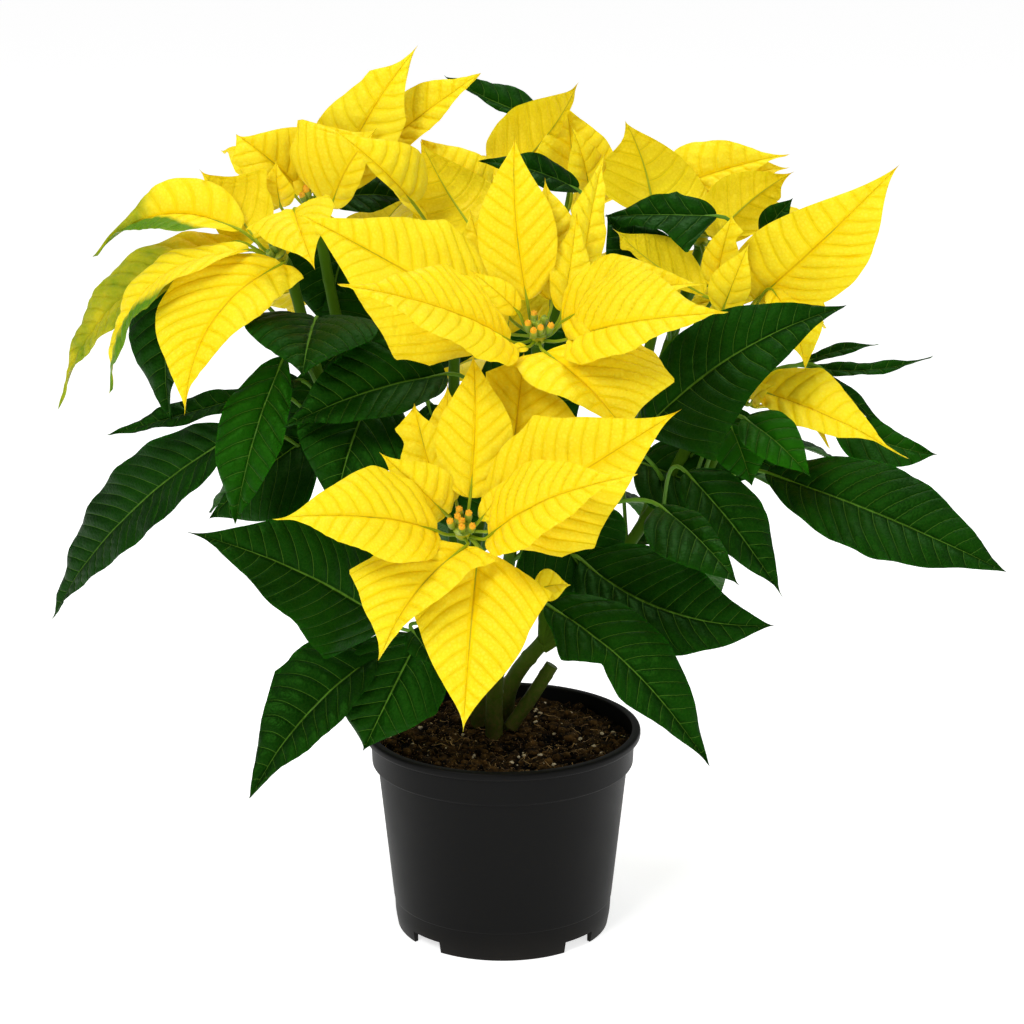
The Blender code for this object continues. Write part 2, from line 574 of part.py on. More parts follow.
# Leaves in the front view, by main stem. Where a leaf stands is (branch, how far along it).
LEAVES = {
    "front": (
        leaf((660, 506), (740, 586), (-82, -126), 50, face=(0.1, 0.6), on=("A", 0.35),
             halves=(1, 0.4)),
        leaf((582, 560), (776, 625), (-58, -88), 58, face=(0.1, 0.4), bow=14.5, on=("A", 0.2),
             halves=(1, 1.12)),
        leaf((546, 604), (710, 767), (-96, -146), 50, face=(0.1, 0.45), arch=10, bow=-5,
             on=("B", 0.3), teeth=((1, 0.24, 8), (1, 0.37, -10)), halves=(0.76, 1)),
        leaf((386, 621), (185, 531), (-84, -112), 51, face=(-0.1, 0.4), bow=4, on=("B", 0.35),
             teeth=((-1, 0.22, 15),), outline=BRACT_OUTLINE, halves=(1.25, 1.08)),
        leaf((376, 655), (249, 799), (-72, -108), 48, face=(-0.3, 0.4), bow=5, on=("B", 0.15),
             teeth=((1, 0.55, 4),), halves=(1.22, 0.78), sweep=(-0.5, 0)),
        leaf((420, 636), (363, 751), (-60, -88), 56, face=(0.1, 0.4), arch=5, on=("B", 0.1),
             teeth=((-1, 0.5, 2), (1, 0.82, 8))),
        leaf((446, 374), (283, 427), (-62, -84), 48, face=(-0.1, 0.6), arch=8, fold=0.4,
             on=("A", 0.6)),
        leaf((548, 524), (604, 602), (-44, -58), 70, face=(0, 0.3), arch=5, on=("A", 0.15)),
        leaf((412, 630), (437, 668), (-96, -110), 18, face=(0, 0.4), arch=3, on=("B", 0.4)),
    ),
    "left": (
        leaf((238, 433), (51, 620), (-10, 40), 43, face=(-0.3, 0.5), arch=12, bow=6,
             on=("J", 0.4), halves=(1.22, 1)),
        leaf((285, 355), (235, 525), (-46, -80), 42, face=(-0.2, 0.5), arch=10, on=("J", 0.6),
             outline=LONG_OUTLINE, halves=(1, 0.85)),
        leaf((258, 392), (106, 435), (-14, -14), 18, face=(-0.1, 0.9), arch=1, bow=-1,
             on=("J", 0.5)),
        leaf((316, 318), (302, 376), (-50, -100), 74, face=(0, 0.8), arch=5, on=("J", 0.75)),
        leaf((178, 260), (171, 427), (-12, -20), 36, face=(-0.5, 0.3), arch=8, bow=1,
             on=("J", 0.8), outline=BRACT_OUTLINE, halves=(1.3, 0.8)),
        leaf((300, 380), (262, 392), (-30, -50), 14, face=(0, 0.6), arch=3, on=("J", 0.65)),
        leaf((372, 392), (334, 510), (-52, -82), 62, face=(-0.1, 0.5), arch=8, on=("E", 0.55)),
        leaf((330, 200), (408, 200), (22, 30), 30, face=(0, 0.8), arch=5, on=("C", 0.85)),
        leaf((305, 440), (209, 519), (-8, -20), 48, face=(-0.1, 0.4), arch=7,
             on=("J", 0.35), halves=(0.4, 1.5)),
        leaf((376, 394), (280, 462), (6, -10), 64, face=(-0.1, 0.4), arch=7, on=("E", 0.5)),
        leaf((428, 404), (468, 538), (-10, -30), 62, face=(0, 0.3), arch=5, on=("E", 0.45),
             outline=LONG_OUTLINE),
        leaf((410, 300), (318, 372), (24, 6), 64, face=(-0.1, 0.3), arch=6, on=("E", 0.75)),
        leaf((450, 300), (424, 376), (34, 28), 54, face=(0, 0.3), arch=5, on=("E", 0.7)),
        leaf((346, 238), (326, 330), (34, 20), 60, face=(0, 0.3), arch=5, on=("C", 0.45)),
    ),
    "right": (
        leaf((646, 428), (847, 305), (-56, -66), 61, face=(-0.1, 0.3), arch=8, bow=-7,
             on=("G", 0.55), teeth=((1, 0.3, 17),), halves=(0.92, 0.86), sweep=(-0.35, 0)),
        leaf((765, 472), (1007, 572), (-30, -92), 60, face=(0.1, 0.4), arch=11, bow=2,
             on=("H", 0.4), outline=LONG_OUTLINE, halves=(0.92, 0.94)),
        leaf((803, 363), (880, 344), (10, 8), 9, face=(0, 0.9), arch=0, bow=-2.5,
             on=("G", 0.75)),
        leaf((806, 366), (934, 355), (0, -8), 10, face=(0, 0.8), arch=0, bow=6,
             on=("G", 0.7)),
        leaf((828, 374), (894, 435), (-4, -14), 9, face=(0.3, 0.6), arch=1, bow=2,
             on=("G", 0.6)),
        leaf((838, 415), (939, 454), (-10, -24), 20, face=(0, 0.6), arch=1, bow=6,
             on=("G", 0.5), halves=(2, 1)),
        leaf((744, 418), (811, 477), (-54, -84), 30, face=(0, 0.5), arch=5, on=("H", 0.7)),
        leaf((730, 424), (752, 486), (-34, -50), 32, face=(0, 0.4), arch=4, on=("H", 0.6)),
        leaf((640, 462), (742, 512), (4, -22), 50, face=(0, 0.4), arch=6, on=("H", 0.35)),
        leaf((690, 440), (780, 470), (24, 10), 50, face=(0, 0.4), arch=6, on=("G", 0.4)),
        leaf((686, 472), (784, 598), (-50, -82), 42, face=(0.2, 0.5), bow=0, on=("H", 0.5),
             outline=BRACT_OUTLINE, halves=(0.9, 1)),
        leaf((717, 216), (604, 216), (-6, -3), 24, face=(0, 0.5), arch=2, on=("F", 0.75),
             teeth=((1, 0.36, 2), (-1, 0.27, 15), (-1, 0.84, 5))),
        leaf((762, 236), (793, 198), (3, 0), 16, face=(0, 0.4), arch=2, on=("F", 0.6)),
        leaf((664, 304), (606, 214), (0, 2), 46, face=(0, 0.4), arch=4, on=("F", 0.75)),
        leaf((500, 344), (576, 428), (20, 12), 74, face=(0, 0.3), arch=5, on=("D", 0.5)),
        leaf((578, 190), (478, 161), (8, 2), 20, face=(0, 0.6), arch=7, on=("D", 0.8)),
        leaf((548, 122), (444, 75), (82, 86), 26, face=(0, 0.7), arch=-3, on=("D", 0.8),
             halves=(1, 0.38)),
    ),
}

# Leaves at the back, by rule: branch, how far along it, turn, lift, stalk, length and width.
BACK_LEAVES = {
    "front": (),
    "left": (
        ("K", 0.55, 150, -24, 34, 118, 62),
        ("K", 0.45, 112, -30, 30, 112, 60),
        ("K", 0.3, 150, -18, 30, 104, 56),
        ("L", 0.5, 96, -34, 30, 110, 60),
    ),
    "right": (
        ("M", 0.55, 30, -24, 34, 118, 62),
        ("M", 0.45, 66, -30, 30, 112, 60),
        ("M", 0.3, 26, -16, 30, 104, 56),
        ("F", 0.5, 14, -8, 30, 104, 54),
        ("G", 0.3, 52, -22, 30, 96, 52),
    ),
}

BLACK = (0.012, 0.012, 0.012)
BROWN = (0.035, 0.017, 0.008)
GREEN = (0.02, 0.09, 0.02)
YELLOW = (0.92, 0.72, 0.02)
CUP_GREEN = (0.45, 0.55, 0.04)


def branch_points(head, count=5):
    """Return the middle line of a branch, from its main stem's fork to square under its hub."""
    stem, hub, way, bend = HEADS[head]
    way = Vector(way).normalized()
    fork = MAIN_STEMS[stem][1]
    under_hub = hub - way * (HUB_HEIGHT / 2 + GAP)
    neck = under_hub - way * BRANCH_NECK
    return bend_points(fork - Vector((0, 0, 4 * MM)), bend, neck, count) + [under_hub]


def along_branch(head, share):
    """Return the place on a branch's middle line at a share of its points."""
    points = branch_points(head, 41)
    return points[round(share * (len(points) - 1))]


def leaf_solid(spec):
    """Make a leaf with the stalk that carries it from its branch."""
    start = along_branch(*spec.on)
    shoulder = (start + spec.root) / 2 + Vector((0, 0, 0.12 * (spec.root - start).length))
    return blade_solid(spec, start, shoulder, LEAF_STALK_WIDTH)


def bract_solid(hub, way, spec):
    """Make a bract with the short stalk that leaves the side of its hub."""
    out = spec.root - hub
    level = (out - way * way.dot(out)).normalized()
    reach = min(BRACT_STALK_REACH, out.length * 0.7)
    start = hub - way * HUB_HEIGHT * 0.1
    return blade_solid(spec, start, start + level * reach, BRACT_STALK_WIDTH)


def make_cutting(stem):
    """Make one rooted cutting: main stem, branches, leaf stalks and leaves."""
    foot, fork = MAIN_STEMS[stem]
    low = Vector((foot.x, foot.y, SOIL_TOP - HOLE_DEPTH))
    bend = Vector((foot.x, foot.y, SOIL_TOP + 22 * MM))
    pieces = [tube([low, bend, fork], MAIN_RADIUS, MAIN_RADIUS * 0.8, 2)]
    for head in HEADS:
        if HEADS[head][0] == stem:
            pieces.append(tube(branch_points(head), BRANCH_RADIUS * 1.15, BRANCH_RADIUS * 0.9, 1))
    for spec in LEAVES[stem]:
        pieces.append(leaf_solid(spec))
    for head, share, turn, lift, stalk, length, width in BACK_LEAVES[stem]:
        start = along_branch(head, share)
        spec = spoke(start, (0, 0, 1), turn, lift, stalk, length, width, arch=12,
                     outline=LEAF_OUTLINE, on=(head, share))
        pieces.append(leaf_solid(spec))
    return fuse("leafy_stem_" + stem, pieces, GREEN, 0.45)


def back_bracts(head):
    """Describe the bracts that a head has at its back."""
    first, step, count, lift, length, width = BACK_BRACTS.get(head, (0, 0, 0, 0, 0, 0))
    stem, hub, way, bend = HEADS[head]
    return [spoke(hub, way, first + i * step, lift + 14 * (i % 2), 12, length - 10 * (i % 3),
                  width - 4 * (i % 2)) for i in range(count)]


def make_bloom(head):
    """Make a head's hub with its bracts, all one yellow piece."""
    hub, way = HEADS[head][1], Vector(HEADS[head][2]).normalized()
    half = way * HUB_HEIGHT / 2
    pieces = [rod(hub - half, hub + half, HUB_RADIUS, 8)]
    for spec in list(BRACTS[head]) + back_bracts(head):
        pieces.append(bract_solid(hub, way, spec))
    return fuse("bloom_" + head, pieces, YELLOW, 0.5)


def make_cups(head, count):
    """Make a head's cluster of cups on their shared base."""
    hub, way = HEADS[head][1], Vector(HEADS[head][2]).normalized()
    base = hub + way * (HUB_HEIGHT / 2 + GAP)
    top = base + way * CUP_BASE_HEIGHT
    turn = way.to_track_quat("Z", "Y")
    pieces = [rod(base, top, HUB_RADIUS * 1.2, 8)]
    for i in range(count):
        radius = CUP_SPREAD * math.sqrt(i)
        offset = Vector((math.cos(i * GOLDEN_ANGLE), math.sin(i * GOLDEN_ANGLE), 0)) * radius
        foot = base + turn @ offset + way * CUP_BASE_HEIGHT / 2
        pieces.append(rod(foot, foot + way * CUP_HEIGHT, CUP_RADIUS, 5))
    return fuse("cups_" + head, pieces, CUP_GREEN, 0.5)


for old in list(bpy.data.objects):
    bpy.data.objects.remove(old)
parts = bpy.data.collections.new("poinsettia")
cutters = bpy.data.collections.new("cutters")
for collection in (parts, cutters):
    bpy.context.scene.collection.children.link(collection)

make_pot()
make_soil([foot for foot, fork in MAIN_STEMS.values()])
for stem_name in MAIN_STEMS:
    make_cutting(stem_name)
for head_name in HEADS:
    make_bloom(head_name)
    make_cups(head_name, CUP_COUNTS.get(head_name, 3))
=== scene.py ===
"""Looks of a poinsettia with yellow bracts that grows in a black nursery pot.

Metres, +Z up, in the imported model's frame. The file follows the plant as it is put together:
the studio, the pot, the soil, the stems, the leaves, the heads of bracts and their cups.
"""
import math
import random
from types import SimpleNamespace

import bmesh
import bpy
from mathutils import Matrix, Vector, noise


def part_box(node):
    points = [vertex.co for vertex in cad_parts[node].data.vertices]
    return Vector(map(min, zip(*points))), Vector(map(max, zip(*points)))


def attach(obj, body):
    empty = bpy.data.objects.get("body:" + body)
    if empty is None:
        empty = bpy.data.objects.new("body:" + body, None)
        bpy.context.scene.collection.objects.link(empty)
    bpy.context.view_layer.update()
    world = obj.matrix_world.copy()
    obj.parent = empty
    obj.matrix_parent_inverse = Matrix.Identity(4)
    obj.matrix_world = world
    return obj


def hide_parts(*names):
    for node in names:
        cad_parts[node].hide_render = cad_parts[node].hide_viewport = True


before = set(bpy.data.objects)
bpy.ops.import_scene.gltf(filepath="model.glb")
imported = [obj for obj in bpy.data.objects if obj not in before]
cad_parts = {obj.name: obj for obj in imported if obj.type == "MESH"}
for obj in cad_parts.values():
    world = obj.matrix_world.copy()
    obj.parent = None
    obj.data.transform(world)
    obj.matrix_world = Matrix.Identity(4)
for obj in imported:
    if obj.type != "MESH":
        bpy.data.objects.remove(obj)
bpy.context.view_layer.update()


# Studio: a pale paper floor under soft light. A large lamp box stands high at the front left,
# a weaker one at the right and one above. The camera stands where the front view was taken,
# a little above the plant, and looks down by about 15 degrees.
MM = 0.001
VIEW_EYE = Vector((0.0055, -1.506, 0.659))
VIEW_TILT = math.radians(15.1)
VIEW_FOCAL = 2700.0
VIEW_CENTRE = 512.0
SENSOR_WIDTH = 36.0
FLOOR_HALF = 14.0
FLOOR_GLOW = 0.70
ROOM_LIGHT = 0.32
LAMPS = (
    ("lamp_front_left", Vector((-1.1, -1.9, 2.1)), 0.9, 36.0),
    ("lamp_front_right", Vector((1.9, -1.5, 1.3)), 1.0, 10.0),
    ("lamp_above", Vector((0.2, 0.3, 2.3)), 1.0, 18.0),
)
LAMP_TARGET = Vector((0, 0, 0.28))


def node(tree, kind, *inputs, **settings):
    """Add a shader node and fill its inputs in order: a number, another node or its socket."""
    made = tree.nodes.new("ShaderNode" + kind)
    for name, value in settings.items():
        setattr(made, name, value)
    for socket, value in zip(made.inputs, inputs):
        if isinstance(value, bpy.types.Node):
            value = value.outputs[0]
        if isinstance(value, bpy.types.NodeSocket):
            tree.links.new(value, socket)
        elif value is not None:
            socket.default_value = value
    return made


def new_material(name, finish):
    """Make a material and set its surface: socket names with their values."""
    material = bpy.data.materials.new(name)
    material.use_nodes = True
    surface = material.node_tree.nodes["Principled BSDF"]
    for socket, value in finish.items():
        surface.inputs[socket].default_value = value
    return material, material.node_tree, surface


def make_studio():
    """Set the camera, the lamps, the room's light and the floor."""
    lens = bpy.data.cameras.new("camera")
    lens.sensor_width = SENSOR_WIDTH
    lens.lens = SENSOR_WIDTH * VIEW_FOCAL / (2 * VIEW_CENTRE)
    camera = bpy.data.objects.new("camera", lens)
    camera.location = VIEW_EYE
    camera.rotation_euler = (math.pi / 2 - VIEW_TILT, 0, 0)
    bpy.context.scene.collection.objects.link(camera)
    bpy.context.scene.camera = camera
    for name, spot, size, power in LAMPS:
        lamp = bpy.data.lights.new(name, "AREA")
        lamp.size = size
        lamp.energy = power
        holder = bpy.data.objects.new(name, lamp)
        holder.location = spot
        holder.rotation_euler = (spot - LAMP_TARGET).to_track_quat("Z", "Y").to_euler()
        bpy.context.scene.collection.objects.link(holder)
    room = bpy.data.worlds.new("room")
    room.use_nodes = True
    room.node_tree.nodes["Background"].inputs["Color"].default_value = (1, 1, 1, 1)
    room.node_tree.nodes["Background"].inputs["Strength"].default_value = ROOM_LIGHT
    bpy.context.scene.world = room
    bpy.context.scene.view_settings.view_transform = "Standard"
    sheet = bpy.data.meshes.new("floor")
    far = FLOOR_HALF
    sheet.from_pydata([(-far, -far, 0), (far, -far, 0), (far, far, 0), (-far, far, 0)], [],
                      [(0, 1, 2, 3)])
    floor = bpy.data.objects.new("floor", sheet)
    bpy.context.scene.collection.objects.link(floor)
    sheet.materials.append(new_material("pale_paper", {
        "Base Color": (0.86, 0.86, 0.86, 1), "Roughness": 0.9,
        "Emission Color": (1, 1, 1, 1), "Emission Strength": FLOOR_GLOW})[0])


make_studio()


# Pot: one injection-moulded shell of black polypropylene, with a rolled rim, a collar, a
# tapered wall and a foot ring. Four notches in the foot and four holes in the floor let water
# out. The moulded skin is finely pitted, and dry soil dust dulls it a little.
POT_WALL = 1.5 * MM
RIM_BEAD = 4.5 * MM
RIM_STEP = 3.6 * MM
COLLAR_HEIGHT = 16.0 * MM
COLLAR_STEP = 4.0 * MM
FOOT_INSET = 18.0 * MM
FOOT_BAND = 10.0 * MM
FLOOR_HEIGHT = 8.0 * MM
NOTCH_COUNT = 4
NOTCH_WIDTH = 22.0 * MM
NOTCH_HEIGHT = 7.0 * MM
NOTCH_REACH = 20.0 * MM
DRAIN_RADIUS = 5.0 * MM
DRAIN_CIRCLE = 40.0 * MM
DRAIN_COUNT = 4
DRAIN_STEPS = 32
POT_STEPS = 144
POT_SHARP_ANGLE = math.radians(38)


def mix(tree, share, low, high):
    """Blend two colours or sockets by a share from 0 to 1."""
    low, high = [(*tint, 1.0) if isinstance(tint, tuple) else tint for tint in (low, high)]
    skipped = (None,) * 5
    return node(tree, "Mix", share, *skipped, low, high, data_type="RGBA").outputs[2]


def sums(tree, operation, *values):
    """Add a sum, product or other calculation of numbers or sockets."""
    return node(tree, "Math", *values, operation=operation)


def spread(tree, value, low, high, low_to=0.0, high_to=1.0):
    """Map a number from one range to another and stop at its ends."""
    return node(tree, "MapRange", value, low, high, low_to, high_to)


def relief(tree, surface, height, distance, strength=1.0):
    """Raise a surface by a height from 0 to 1 over a distance in metres."""
    bump = tree.nodes.new("ShaderNodeBump")
    bump.inputs["Strength"].default_value = strength
    bump.inputs["Distance"].default_value = distance
    tree.links.new(height.outputs[0], bump.inputs["Height"])
    tree.links.new(bump.outputs["Normal"], surface.inputs["Normal"])


def here(tree):
    """Return the place on the piece, in metres."""
    return node(tree, "TexCoord").outputs["Object"]


def height_on(tree):
    """Return the height on the piece, in metres."""
    return node(tree, "SeparateXYZ", here(tree)).outputs["Z"]


def clouds(tree, scale, detail, roughness):
    """Return a soft random pattern, with scale patches in a metre."""
    return node(tree, "TexNoise", here(tree), None, scale, detail, roughness)


def add_piece(name, points, faces, materials, skins=None, smooth=True):
    """Make an object from points and faces. skins gives the number of each face's material."""
    mesh = bpy.data.meshes.new(name)
    mesh.from_pydata(points, [], faces)
    for material in materials:
        mesh.materials.append(material)
    if skins:
        mesh.polygons.foreach_set("material_index", skins)
    if smooth:
        mesh.shade_smooth()
    piece = bpy.data.objects.new(name, mesh)
    bpy.context.scene.collection.objects.link(piece)
    return piece


def rounded(corners, steps=4):
    """Round the corners (radius, height, rounding) of a profile that is open at both ends."""
    line = []
    for i, (radius, height, rounding) in enumerate(corners):
        corner = Vector((radius, height))
        if not rounding or i in (0, len(corners) - 1):
            line.append(corner)
            continue
        before, after = Vector(corners[i - 1][:2]), Vector(corners[i + 1][:2])
        start = corner + (before - corner).normalized() * rounding
        end = corner + (after - corner).normalized() * rounding
        for k in range(steps + 1):
            t = k / steps
            line.append((1 - t) ** 2 * start + 2 * t * (1 - t) * corner + t ** 2 * end)
    return line


def turned(line, steps):
    """Turn a line of (radius, height) from axis to axis into points and faces."""
    points, faces = [], []
    for i, (radius, height) in enumerate(line):
        ends = i in (0, len(line) - 1)
        for k in range(1 if ends else steps):
            turn = 2 * math.pi * k / steps
            points.append((radius * math.cos(turn), radius * math.sin(turn), height))
    last = len(points) - 1
    for k in range(steps):
        after = (k + 1) % steps
        faces.append((0, 1 + k, 1 + after))
        for i in range(len(line) - 3):
            low, high = 1 + i * steps, 1 + (i + 1) * steps
            faces.append((low + k, high + k, high + after, low + after))
        rim = last - steps
        faces.append((rim + k, last, rim + after))
    return points, faces


def apply_modifiers(piece):
    """Turn what the modifiers make into the piece's own mesh."""
    bpy.context.view_layer.update()
    evaluated = piece.evaluated_get(bpy.context.evaluated_depsgraph_get())
    mesh = bpy.data.meshes.new_from_object(evaluated)
    piece.modifiers.clear()
    piece.data = mesh


def cut_out(piece, cutters):
    """Cut cutters out of a piece and remove them."""
    for cutter in cutters:
        cut = piece.modifiers.new("cut", "BOOLEAN")
        cut.operation = "DIFFERENCE"
        cut.object = cutter
        cut.solver = "EXACT"
    apply_modifiers(piece)
    for cutter in cutters:
        bpy.data.objects.remove(cutter)


def pot_line(high):
    """Return the pot's profile from the middle of its floor, up the inside, down the outside."""
    rim, top = high.x, high.z
    bead_low = top - RIM_BEAD
    collar_low = bead_low - COLLAR_HEIGHT
    collar = rim - RIM_STEP
    body = collar - COLLAR_STEP
    foot = rim - FOOT_INSET
    band = foot + 0.75 * MM
    inside = collar - POT_WALL
    return rounded([
        (0.0, FLOOR_HEIGHT, 0),
        (foot + 1.0 * MM - POT_WALL, FLOOR_HEIGHT, 3 * MM),
        (inside - COLLAR_STEP, collar_low - 1.0 * MM, 2 * MM),
        (inside, collar_low + 2.0 * MM, 2 * MM),
        (inside, top, 1.0 * MM),
        (rim, top, 1.7 * MM),
        (rim, bead_low, 1.5 * MM),
        (collar, bead_low - 0.4 * MM, 0.9 * MM),
        (collar - 0.7 * MM, collar_low, 0.9 * MM),
        (body, collar_low - 1.2 * MM, 0.8 * MM),
        (band + 1.0 * MM, FLOOR_HEIGHT + FOOT_BAND, 0.25 * MM),
        (band + 0.6 * MM, FLOOR_HEIGHT + FOOT_BAND - 0.5 * MM, 0.25 * MM),
        (foot + 0.9 * MM, FLOOR_HEIGHT, 3.5 * MM),
        (foot - 0.5 * MM, 0.0, 0.4 * MM),
        (foot - 3.0 * MM, 0.0, 0.4 * MM),
        (foot - 3.0 * MM, FLOOR_HEIGHT - POT_WALL, 1.0 * MM),
        (0.0, FLOOR_HEIGHT - POT_WALL, 0),
    ])


def make_pot():
    """Turn the pot, cut its notches and drain holes, and give it its plastic."""
    low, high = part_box("pot")
    points, faces = turned(pot_line(high), POT_STEPS)
    plastic, tree, surface = new_material("black_polypropylene", {
        "Roughness": 0.46, "Specular IOR Level": 0.08})
    pits = clouds(tree, 2600.0, 2.0, 0.6)
    flow = clouds(tree, 14.0, 4.0, 0.6)
    low_dust = sums(tree, "MULTIPLY", spread(tree, height_on(tree), 0.02, 0.0), flow)
    dust = sums(tree, "MULTIPLY", low_dust, 0.35)
    black = mix(tree, flow, (0.0030, 0.0030, 0.0029), (0.0052, 0.0052, 0.0050))
    tree.links.new(mix(tree, dust, black, (0.035, 0.030, 0.024)), surface.inputs["Base Color"])
    tree.links.new(spread(tree, flow, 0.3, 0.7, 0.42, 0.52).outputs[0],
                   surface.inputs["Roughness"])
    relief(tree, surface, pits, 0.05 * MM, 0.5)
    pot = add_piece("nursery_pot", points, faces, [plastic])
    cutters = []
    for i in range(NOTCH_COUNT):
        turn = 2 * math.pi * (i + 0.5) / NOTCH_COUNT
        bpy.ops.mesh.primitive_cube_add(size=1)
        notch = bpy.context.object
        notch.scale = (NOTCH_REACH, NOTCH_WIDTH, 2 * NOTCH_HEIGHT)
        notch.rotation_euler = (0, 0, turn)
        notch.location = Vector((math.cos(turn), math.sin(turn), 0)) * (high.x - FOOT_INSET)
        cutters.append(notch)
    for i in range(DRAIN_COUNT):
        turn = 2 * math.pi * i / DRAIN_COUNT
        bpy.ops.mesh.primitive_cylinder_add(
            vertices=DRAIN_STEPS, radius=DRAIN_RADIUS, depth=2 * FLOOR_HEIGHT,
            location=(math.cos(turn) * DRAIN_CIRCLE, math.sin(turn) * DRAIN_CIRCLE,
                      FLOOR_HEIGHT))
        cutters.append(bpy.context.object)
    cut_out(pot, cutters)
    pot.data.shade_smooth()
    pot.data.set_sharp_from_angle(angle=POT_SHARP_ANGLE)
    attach(pot, "root")
    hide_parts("pot")


make_pot()


# Soil: peat that was filled in loose and has settled under the rim. Its top is lumpy, with
# crumbs, thin fibres and pale grains of perlite pressed half into it. Its colour is painted
# near black in the low places between the lumps, as painted shade.
SOIL_TOP = 113.0 * MM
WALL_GAP = 0.3 * MM
FLOOR_GAP = 2.0 * MM
SKIRT_DROP = 8.0 * MM
SKIRT_FOOT_DROP = 17.0 * MM
SKIRT_STEP = 6.0 * MM
SKIRT_TAPER = 16.0 * MM
SOIL_RINGS = 72
SOIL_STEPS = 220
SOIL_LUMP = 3.6 * MM
CRUMB_COUNT = 1100
PERLITE_COUNT = 170
FIBRE_COUNT = 300
FIBRE_STEPS = 6
CRUMB_MARGIN = 2.5 * MM
FIBRE_MARGIN = 6.0 * MM


def soil_height(x, y):
    """Return the height of the soil's lumpy top."""
    broad = noise.noise((x * 46, y * 46, 0.3))
    lumps = 1 - 2.6 * abs(noise.noise((x * 95, y * 95, 4.1)))
    grit = noise.noise((x * 330, y * 330, 7.7))
    fine = noise.noise((x * 1000, y * 1000, 2.2))
    return SOIL_TOP + SOIL_LUMP * (0.6 * broad + 0.55 * lumps + 0.5 * grit + 0.16 * fine - 0.3)


def add_lump(points, faces, middle, size, squash, detail, seed):
    """Add one rough lump to points and faces."""
    shape = bmesh.new()
    bmesh.ops.create_icosphere(shape, subdivisions=detail, radius=1.0)
    first = len(points)
    for corner in shape.verts:
        way = corner.co
        swell = 1 + 0.45 * noise.noise(way * 1.3 + Vector((seed, 0, 0)))
        points.append((middle.x + way.x * size * swell, middle.y + way.y * size * swell,
                       middle.z + way.z * size * swell * squash))
    for face in shape.faces:
        faces.append(tuple(first + corner.index for corner in face.verts))
    shape.free()


def add_strand(points, faces, start, turn, length, width, bend):
    """Add one thin curled fibre with three sides."""
    first = len(points)
    for i in range(FIBRE_STEPS + 1):
        t = i / FIBRE_STEPS
        way = turn + bend * (t - 0.5)
        out = length * (t - 0.5)
        x = start.x + math.cos(way) * out
        y = start.y + math.sin(way) * out
        middle = Vector((x, y, soil_height(x, y) + start.z + 0.5 * MM * math.sin(math.pi * t)))
        for k in range(3):
            angle = 2 * math.pi * k / 3
            slim = width * (0.35 + 0.65 * math.sin(math.pi * (0.1 + 0.8 * t)))
            points.append(middle + slim * Vector((-math.sin(way) * math.cos(angle),
                                                  math.cos(way) * math.cos(angle),
                                                  math.sin(angle))))
    for i in range(FIBRE_STEPS):
        for k in range(3):
            a, b = first + 3 * i + k, first + 3 * i + (k + 1) % 3
            faces.append((a, b, b + 3, a + 3))
    faces.append((first + 2, first + 1, first))
    last = first + 3 * FIBRE_STEPS
    faces.append((last, last + 1, last + 2))


